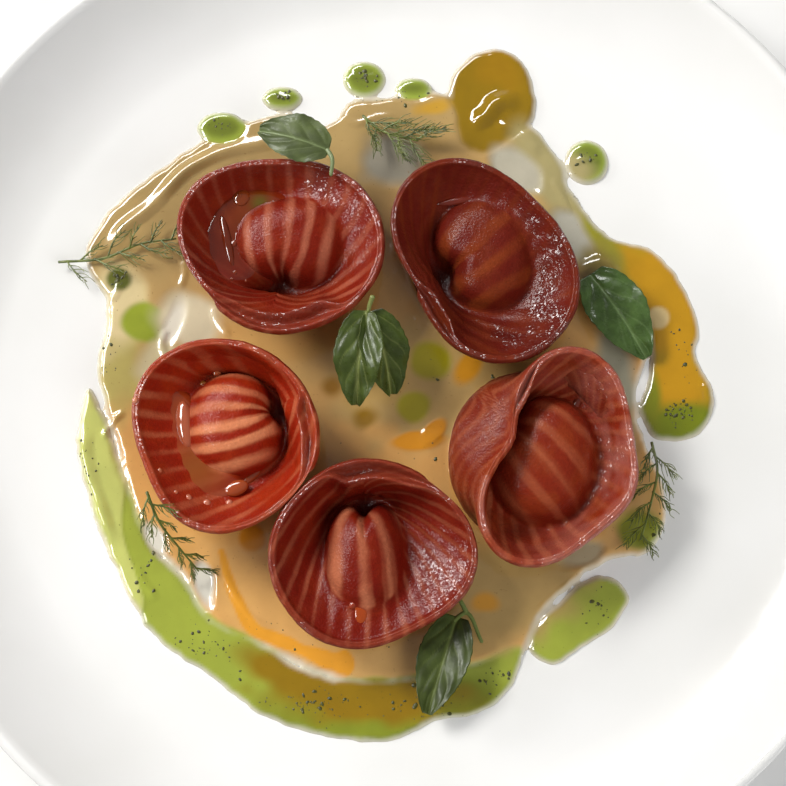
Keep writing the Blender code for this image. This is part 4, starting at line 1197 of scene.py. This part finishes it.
def make_pools():
    x, y = np.meshgrid(*(np.arange(low, high, POOL_STEP) for low, high in POOL_AREA))
    rough = Pools(x.ravel(), y.ravel())
    whole = np.minimum(rough.union, foot_distance(rough.x, rough.y) + UNDER_RAVIOLI)
    materials = {slot: pool_material(*look) for slot, look in POOL_LOOKS.items()}
    for name in ["sauce", *rough.oil]:
        own = -rough.any_oil if name == "sauce" else rough.oil[name]
        plan, faces = clip_grid(np.minimum(whole, own).reshape(x.shape), x, y)
        pools = Pools(plan[:, 0], plan[:, 1])
        from_foot = np.clip(foot_distance(plan[:, 0], plan[:, 1]) + CLIMB_START, 0.0, 9.0)
        climb = CLIMB * np.exp(-from_foot / CLIMB_FADE)
        heights = pools.heights() + climb * ease(pools.union, 0.0, 2.0)
        tint = pools.colours()
        points = np.column_stack([plan, WELL_TOP + heights])
        solid, everything = close_below(points, faces, POOL_FLOOR)
        slot = "cream" if name == "sauce" else "amber_oil" if name in AMBER_NODES else "herb_oil"
        make_piece(name + "_fine", solid, everything, materials[slot], name, slot, POOL_CREASE,
                   tint=np.concatenate([tint, tint]))


# ---------------------------------------------------------------- plate
def make_plate():
    """The plate's profile from the well over the rim to the foot, turned round its axis."""
    wall = PLATE_RADIUS - WELL_RADIUS
    rise = PLATE_HEIGHT - WELL_TOP
    profile = [(0.0, WELL_TOP), (60.0, WELL_TOP), (100.0, WELL_TOP)]
    for share in np.linspace(0.0, 0.94, 14):
        profile.append((WELL_RADIUS + (wall - 2.5) * share, WELL_TOP + rise * share ** COUPE_CURVE))
    middle, top = PLATE_RADIUS - RIM_ROUND, PLATE_HEIGHT - RIM_ROUND - 0.1
    for angle in np.radians(np.linspace(115, -40, 10)):
        profile.append((middle + RIM_ROUND * math.cos(angle), top + RIM_ROUND * math.sin(angle)))
    for share in np.linspace(0.93, 0.1, 12):
        height = (PLATE_HEIGHT - RIM_THICKNESS) * share ** COUPE_CURVE + UNDERSIDE
        profile.append((WELL_RADIUS + wall * share, height))
    foot = FOOT_RADIUS - 0.5 * FOOT_WIDTH
    profile += [(FOOT_RADIUS + 5.0, UNDERSIDE + 0.1), (FOOT_RADIUS + 2.0, UNDERSIDE)]
    for angle in np.radians(np.linspace(0, -180, 9)):
        profile.append((foot + 0.5 * FOOT_WIDTH * math.cos(angle), FOOT_ROUND + FOOT_ROUND * math.sin(angle)))
    profile += [(FOOT_RADIUS - FOOT_WIDTH - 1.0, FOOT_RECESS), (40.0, FOOT_RECESS), (0.0, FOOT_RECESS)]
    turn = np.linspace(0.0, 2 * math.pi, PLATE_STEPS, endpoint=False)
    rings = [np.column_stack([r * np.cos(turn), r * np.sin(turn), np.full(PLATE_STEPS, z)])
             for r, z in profile[1:-1]]
    points = np.concatenate([[[0, 0, profile[0][1]]], *rings, [[0, 0, profile[-1][1]]]])
    nodes = Nodes("glaze")
    tone = nodes.mix(nodes.ramp(nodes.grain(60.0, 3.0), 0.3, 0.7), (0.87, 0.87, 0.86), (0.82, 0.82, 0.80))
    wave = nodes.relief(nodes.grain(14.0, 2.0), 0.12, 0.4)
    rough = nodes.ramp(nodes.grain(3.0, 3.0), 0.3, 0.7, 0.10, 0.2)
    glaze = nodes.finish(Base_Color=tone, Roughness=rough, Normal=wave, Coat_Weight=0.3, Coat_Roughness=0.05)
    make_piece("plate_fine", points, closed_faces(len(rings), PLATE_STEPS), glaze, "plate", "glaze")


# ---------------------------------------------------------------- herbs
def tube(points, radius, tip=0.5, sides=7, count=5):
    """Points and faces of a closed round tube along a smooth line."""
    line = smooth_line(points, count)
    along = np.gradient(line, axis=0)
    along /= np.linalg.norm(along, axis=1, keepdims=True) + 1e-9
    side = np.cross(along, np.array([0.13, 0.21, 1.0]))
    side /= np.linalg.norm(side, axis=1, keepdims=True) + 1e-9
    other = np.cross(along, side)
    sizes = radius * np.linspace(1.0, tip, len(line))
    turn = np.linspace(0.0, 2 * math.pi, sides, endpoint=False)
    rings = (line[:, None, :] + sizes[:, None, None] * (np.cos(turn)[None, :, None] * side[:, None, :]
                                                      + np.sin(turn)[None, :, None] * other[:, None, :]))
    points = np.concatenate([line[:1] - along[:1] * radius * 0.5, rings.reshape(-1, 3),
                             line[-1:] + along[-1:] * radius * tip])
    return points, closed_faces(len(line), sides)


def gather(parts):
    """Joins (points, faces) lists into one."""
    points, faces, start = [], [], 0
    for one_points, one_faces in parts:
        points.append(one_points)
        faces += [tuple(start + k for k in face) for face in one_faces]
        start += len(one_points)
    return np.concatenate(points), faces


def leaf_form(leaf, seed):
    """A leaf's two faces: quilted between its veins, with a sunk midrib."""
    length, width, place, heading, tilt, roll = leaf
    along, side = np.meshgrid(np.linspace(0.0, 1.0, LEAF_ROWS), np.linspace(-1.0, 1.0, LEAF_COLUMNS),
                              indexing="ij")
    off_middle = np.abs(side)
    half = 0.5 * width * np.sin(math.pi * np.minimum(1.0, 0.06 + 0.90 * along) ** 0.8) ** 0.75
    half = half * (1.0 + LEAF_SCALLOP_DEPTH * np.sin(LEAF_SCALLOPS * along + seed))
    fold = LEAF_FOLD * width * off_middle ** 1.3
    arch = LEAF_ARCH * length * np.sin(math.pi * along)
    ripple = LEAF_RIPPLE * length * np.sin(5.0 * math.pi * along) * side * side
    lines = along - VEIN_SLANT * off_middle ** 1.15 + 0.02 * np.sin(9.0 * side + seed)
    pattern = np.abs((lines * VEINS + VEIN_OFFSET + VEIN_STAGGER * (side > 0)) % 1.0 - 0.5) * 2.0
    strong = ease(0.97 - off_middle, 0.0, 0.3) * ease(along, 0.02, 0.12)
    vein_line = ease(pattern, 0.86, 0.99) * strong
    midrib = np.exp(-(side * half / MIDRIB_HALF) ** 2)
    swell = np.sin(np.clip(1.0 - pattern, 0.0, 1.0) * math.pi * 0.5)
    quilt = QUILT_HEIGHT * swell * strong * (1.0 - midrib)
    height = arch + fold + ripple + quilt - MIDRIB_DEPTH * midrib
    vein = np.clip(0.35 * vein_line + 0.8 * midrib, 0.0, 1.0).ravel()
    turned = np.array(Euler((math.radians(roll), math.radians(-tilt), math.radians(heading))).to_matrix())
    upper = np.stack([length * along, half * side, height + 0.5 * LEAF_THICKNESS], -1).reshape(-1, 3)
    thin = mix(LEAF_EDGE_SHARE, 1.0, ease(1.0 - off_middle, 0.0, 0.12)).ravel() * LEAF_THICKNESS
    lower = upper - np.column_stack([np.zeros_like(thin), np.zeros_like(thin), thin])
    points = np.concatenate([upper, lower]) @ turned.T + np.array(place)
    count = LEAF_ROWS * LEAF_COLUMNS
    faces = grid_faces(LEAF_ROWS, LEAF_COLUMNS, 0, wrap=False)
    faces += [face[::-1] for face in grid_faces(LEAF_ROWS, LEAF_COLUMNS, count, wrap=False)]
    grid = np.arange(count).reshape(LEAF_ROWS, LEAF_COLUMNS)
    rim = [*grid[:, 0], *grid[-1, 1:], *grid[-2::-1, -1], *grid[0, -2:0:-1]]
    faces += [(one, other, other + count, one + count) for one, other in zip(rim, rim[1:] + rim[:1])]
    return points, faces, np.tile(vein, 2), np.repeat([0.0, 1.0], count)


def make_basil(name, spec, seed):
    parts, veins, unders = [], [], []
    for number, leaf in enumerate(spec["leaves"]):
        points, faces, vein, under = leaf_form(leaf, seed + number)
        parts.append((points, faces))
        veins.append(vein)
        unders.append(under)
    for points in spec["stalks"]:
        solid, faces = tube(points, STALK_RADIUS, 0.7, 12, 8)
        parts.append((solid, faces))
        veins.append(np.ones(len(solid)) * 0.8)
        unders.append(np.zeros(len(solid)))
    points, faces = gather(parts)
    make_piece(name + "_fine", points, faces, leaf_material(name + "_leaf", spec), name, "basil",
               vein=np.concatenate(veins), under=np.concatenate(unders))


def make_dill(name, spec, material):
    """The solid's stem and threads, with finer threads on each."""
    chance = np.random.default_rng(spec["seed"])
    extra = np.random.default_rng(spec["seed"] + 100)
    stem = [Vector(point) for point in spec["stem"]]
    parts = [tube(stem, STEM_RADIUS, 0.6, 8, 6)]
    for index in range(spec["threads"]):
        place = (index + 0.6) / spec["threads"] * (len(stem) - 1)
        low = min(int(place), len(stem) - 2)
        root = stem[low].lerp(stem[low + 1], place - low)
        heading = (stem[low + 1] - stem[low]).normalized()
        side = 1.0 if index % 2 else -1.0
        flat = Matrix.Rotation(side * math.radians(chance.uniform(*THREAD_SWING)), 3, "Z") @ heading
        reach = spec["reach"] * chance.uniform(*THREAD_LENGTH)
        lift = chance.uniform(*THREAD_LIFT)
        middle = root + flat * reach * 0.5 + Vector((0, 0, lift))
        bend = Matrix.Rotation(-side * math.radians(chance.uniform(*THREAD_BEND)), 3, "Z") @ flat
        end = middle + bend * reach * 0.5 - Vector((0, 0, THREAD_DROOP * lift))
        end.z = max(end.z, THREAD_LOWEST)
        middle.z = max(middle.z, THREAD_LOWEST)
        parts.append(tube((root - flat * THREAD_ROOT, middle, end), THREAD_RADIUS, 0.4))
        for twig in range(spec["twigs"]):
            share = 0.08 + 0.9 * twig / spec["twigs"] + extra.uniform(*TWIG_SCATTER)
            start = root.lerp(middle, share * 2) if share < 0.5 else middle.lerp(end, share * 2 - 1)
            way = math.radians(1.0 if twig % 2 else -1.0)
            swing = extra.uniform(*TWIG_SWING)
            size = 0.5 * reach * extra.uniform(*TWIG_LENGTH) * (1.1 - 0.5 * share)
            knee = start + Matrix.Rotation(way * swing, 3, "Z") @ bend * size
            tip = knee + Matrix.Rotation(way * extra.uniform(*TWIG_BEND), 3, "Z") @ bend * size
            tip.z = max(tip.z + extra.uniform(*TWIG_RISE), TWIG_LOWEST)
            knee.z = max(knee.z + extra.uniform(*TWIG_KNEE_RISE), TWIG_LOWEST)
            parts.append(tube((start, knee, tip), TWIG_RADIUS, 0.5, 6, 3))
    points, faces = gather(parts)
    make_piece(name + "_fine", points, faces, material, name, "dill")


# ---------------------------------------------------------------- flecks, broth and beads
def blob(centre, size, chance):
    """A small uneven lump."""
    points, faces = icosphere(2)
    points = points * (1.0 + 0.35 * noise(points + chance.uniform(0, 99, 3), 0.8, 61))[:, None]
    turn = chance.uniform(0, 2 * math.pi)
    stretch = chance.uniform(0.5, 1.0)
    points[:, 1] *= stretch
    x, y, z = points.T
    spun = np.column_stack([x * math.cos(turn) - y * math.sin(turn), x * math.sin(turn) + y * math.cos(turn),
                            z * FLECK_FLATNESS])
    return spun * size + np.asarray(centre), faces


def cup_tree(piece):
    mesh = piece.data
    return BVHTree.FromPolygons([vertex.co for vertex in mesh.vertices],
                                [face.vertices for face in mesh.polygons])


def make_broth(name, piece, tree, look, broth):
    """Liquid in the cup: level in the open, thinning out on the dough, coloured by what is below."""
    mesh = piece.data
    stripe = np.empty(len(mesh.vertices))
    mesh.attributes["stripe"].data.foreach_get("value", stripe)
    down = Vector((0.0, 0.0, -1.0))

    def ground(x, y):
        heights, pale = np.full(len(x), 99.0), np.zeros(len(x))
        for index, (px, py) in enumerate(zip(x * MM, y * MM)):
            place, _, face, _ = tree.ray_cast(Vector((px, py, 0.05)), down)
            if place:
                heights[index], pale[index] = place.z / MM, stripe[mesh.polygons[face].vertices[0]]
        return heights, pale

    water = smooth_loop(broth["water"])

    def surface(x, y):
        outside = np.maximum(-inside(x, y, water, BROTH_MARGIN + 1.0), 0.0)
        flat = np.stack([x, y, np.zeros_like(x)], -1)
        return broth["level"] - SHORE_SLOPE * outside ** 2 + uneven(flat, *BROTH_WAVES)

    low, high = water.min(0) - BROTH_MARGIN, water.max(0) + BROTH_MARGIN
    x, y = np.meshgrid(np.arange(low[0], high[0], BROTH_STEP), np.arange(low[1], high[1], BROTH_STEP))
    level = surface(x.ravel(), y.ravel()) - ground(x.ravel(), y.ravel())[0]
    plan, faces = clip_grid(level.reshape(x.shape), x, y)
    heights, pale = ground(plan[:, 0], plan[:, 1])
    depth = np.maximum(surface(plan[:, 0], plan[:, 1]) - heights, 0.0)
    top = heights + depth + BROTH_FILM
    points, everything = close_below(np.column_stack([plan, top]), faces, heights - BROTH_SUNK)
    dough = mix(linear(look["red"]), linear(look["cream"]), 0.6 * look["strength"] * pale[:, None])
    tint = dough * mix(np.ones(3), np.array(BROTH_TINT), ease(depth, 0.0, BROTH_TINT_DEPTH)[:, None])
    for cx, cy, radius, colour in broth["spots"]:
        near = np.exp(-((plan[:, 0] - cx) ** 2 + (plan[:, 1] - cy) ** 2) / radius ** 2)
        tint = mix(tint, linear(colour), 0.95 * near[:, None])
    surface_material = pool_material(name + "_broth_surface", 0.08, 0.9, (60, 24, 8))
    make_piece(name + "_broth", points, everything, surface_material, None, "amber_oil", POOL_CREASE,
               tint=np.concatenate([tint, tint]))
    return BVHTree.FromPolygons((points * MM).tolist(), [list(map(int, face)) for face in everything])


def make_beads(trees):
    """Small drops and bubbles, each on the dough where the camera sees it in the photograph."""
    tilt = math.radians(VIEW_ELEVATION)
    ahead = Vector((0.0, math.cos(tilt), -math.sin(tilt)))
    eye = (Vector(VIEW_TARGET) - VIEW_DISTANCE * ahead) * MM
    half = 0.5 * IMAGE_SIDE
    ball, ball_faces = icosphere(4)
    parts, tints = [], []
    for name, px, py, long, wide, turn, height, colour in BEADS:
        across, up = (px - half) / half * VIEW_HALF_WIDTH, (half - py) / half * VIEW_HALF_WIDTH
        ray = ahead * VIEW_DISTANCE + Vector((across, math.sin(tilt) * up, math.cos(tilt) * up))
        hits = [tree.ray_cast(eye, ray.normalized()) for tree in trees[name]]
        place, normal, _, _ = min((hit for hit in hits if hit[0]), key=lambda hit: hit[3])
        normal = Vector((0.0, 0.0, 1.0)) if max(long, wide) > LONG_BEAD else normal
        lying = normal.to_track_quat("Z", "Y").to_matrix() @ Matrix.Rotation(math.radians(turn), 3, "Z")
        bead = ball * (1.0 + uneven(ball + px, *BEAD_UNEVEN))[:, None] * np.array((long, wide, height))
        middle = np.array(place / MM - normal * BEAD_SUNK * height)
        parts.append((bead @ np.array(lying).T + middle, ball_faces))
        tints.append(np.tile(linear(colour), (len(ball), 1)))
    points, faces = gather(parts)
    make_piece("broth_beads", points, faces, pool_material("bead_surface", 0.06, 0.9, (120, 50, 30)),
               None, "amber_oil", tint=np.concatenate(tints))


def make_flecks():
    """Dark herb specks on the liquids, clear of the ravioli."""
    chance = np.random.default_rng(17)
    spots = []
    for (cx, cy), (spread_x, spread_y), count in FLECKS:
        for _ in range(2 * count):
            spots.append((cx + chance.normal(0, 0.5) * spread_x, cy + chance.normal(0, 0.5) * spread_y,
                          FLECK_SMALLEST + FLECK_RANGE * chance.random() ** 3))
    spots = np.array(spots)
    pools = Pools(spots[:, 0], spots[:, 1])
    keep = (pools.union > 0.8) & (foot_distance(spots[:, 0], spots[:, 1]) > 1.0)
    heights = pools.heights()
    parts = [blob((x, y, WELL_TOP + h), size, chance) for (x, y, size), h in zip(spots[keep], heights[keep])]
    points, faces = gather(parts)
    make_piece("herb_flecks", points, faces, plain_material("fleck_green", *FLECK_COLOURS, 0.8, 0.45))


# ---------------------------------------------------------------- camera, lights and floor
def make_light(name, place, width, height, power, colour, unseen_by):
    """A soft lamp that looks at the plate."""
    lamp = bpy.data.lights.new(name, "AREA")
    lamp.shape = "RECTANGLE"
    lamp.size, lamp.size_y = width, height
    lamp.energy = power
    lamp.color = colour
    lamp_object = new_object(name, lamp)
    lamp_object.location = place
    lamp_object.rotation_euler = (-Vector(place)).to_track_quat("-Z", "Y").to_euler()
    if unseen_by:
        setattr(lamp_object, "visible_" + unseen_by, False)


def make_studio():
    tilt = math.radians(VIEW_ELEVATION)
    camera = bpy.data.cameras.new("camera")
    camera.sensor_width = SENSOR_WIDTH
    camera.lens = SENSOR_WIDTH * VIEW_DISTANCE / (2.0 * VIEW_HALF_WIDTH)
    camera.clip_start = 0.01
    eye = new_object("camera", camera)
    away = VIEW_DISTANCE * Vector((0, -math.cos(tilt), math.sin(tilt)))
    eye.location = (Vector(VIEW_TARGET) + away) * MM
    eye.rotation_euler = (math.radians(90.0) - tilt, 0.0, 0.0)
    bpy.context.scene.camera = eye

    floor_mesh = bmesh.new()
    bmesh.ops.create_grid(floor_mesh, x_segments=8, y_segments=8, size=FLOOR_HALF)
    mesh = bpy.data.meshes.new("floor")
    floor_mesh.to_mesh(mesh)
    floor_mesh.free()
    floor = new_object("floor", mesh)
    nodes = Nodes("floor_paper")
    tone = nodes.mix(nodes.ramp(nodes.grain(400.0), 0.3, 0.7), (0.84, 0.84, 0.83), (0.80, 0.80, 0.79))
    mesh.materials.append(nodes.finish(Base_Color=tone, Roughness=0.8))

    world = bpy.data.worlds.new("studio")
    world.use_nodes = True
    background = world.node_tree.nodes["Background"]
    background.inputs[0].default_value = WORLD_COLOUR
    background.inputs[1].default_value = WORLD_STRENGTH
    bpy.context.scene.world = world
    bpy.context.scene.view_settings.view_transform = "Standard"
    for name, settings in LIGHTS.items():
        make_light(name, *settings)


make_studio()
make_plate()
make_pools()
trees = {}
for number, (name, spec) in enumerate(RAVIOLI.items()):
    cup = make_raviolo(name, spec, STRIPES[name], 11 * (number + 1))
    trees[name] = [cup_tree(cup)]
    if name in BROTH:
        trees[name].append(make_broth(name, cup, trees[name][0], STRIPES[name], BROTH[name]))
make_beads(trees)
for number, (name, spec) in enumerate(BASIL.items()):
    make_basil(name, spec, number)
dill_green = plain_material("dill_green_fine", *DILL_COLOURS, 3.0, 0.4)
for name, spec in DILL.items():
    make_dill(name, spec, dill_green)
make_flecks()
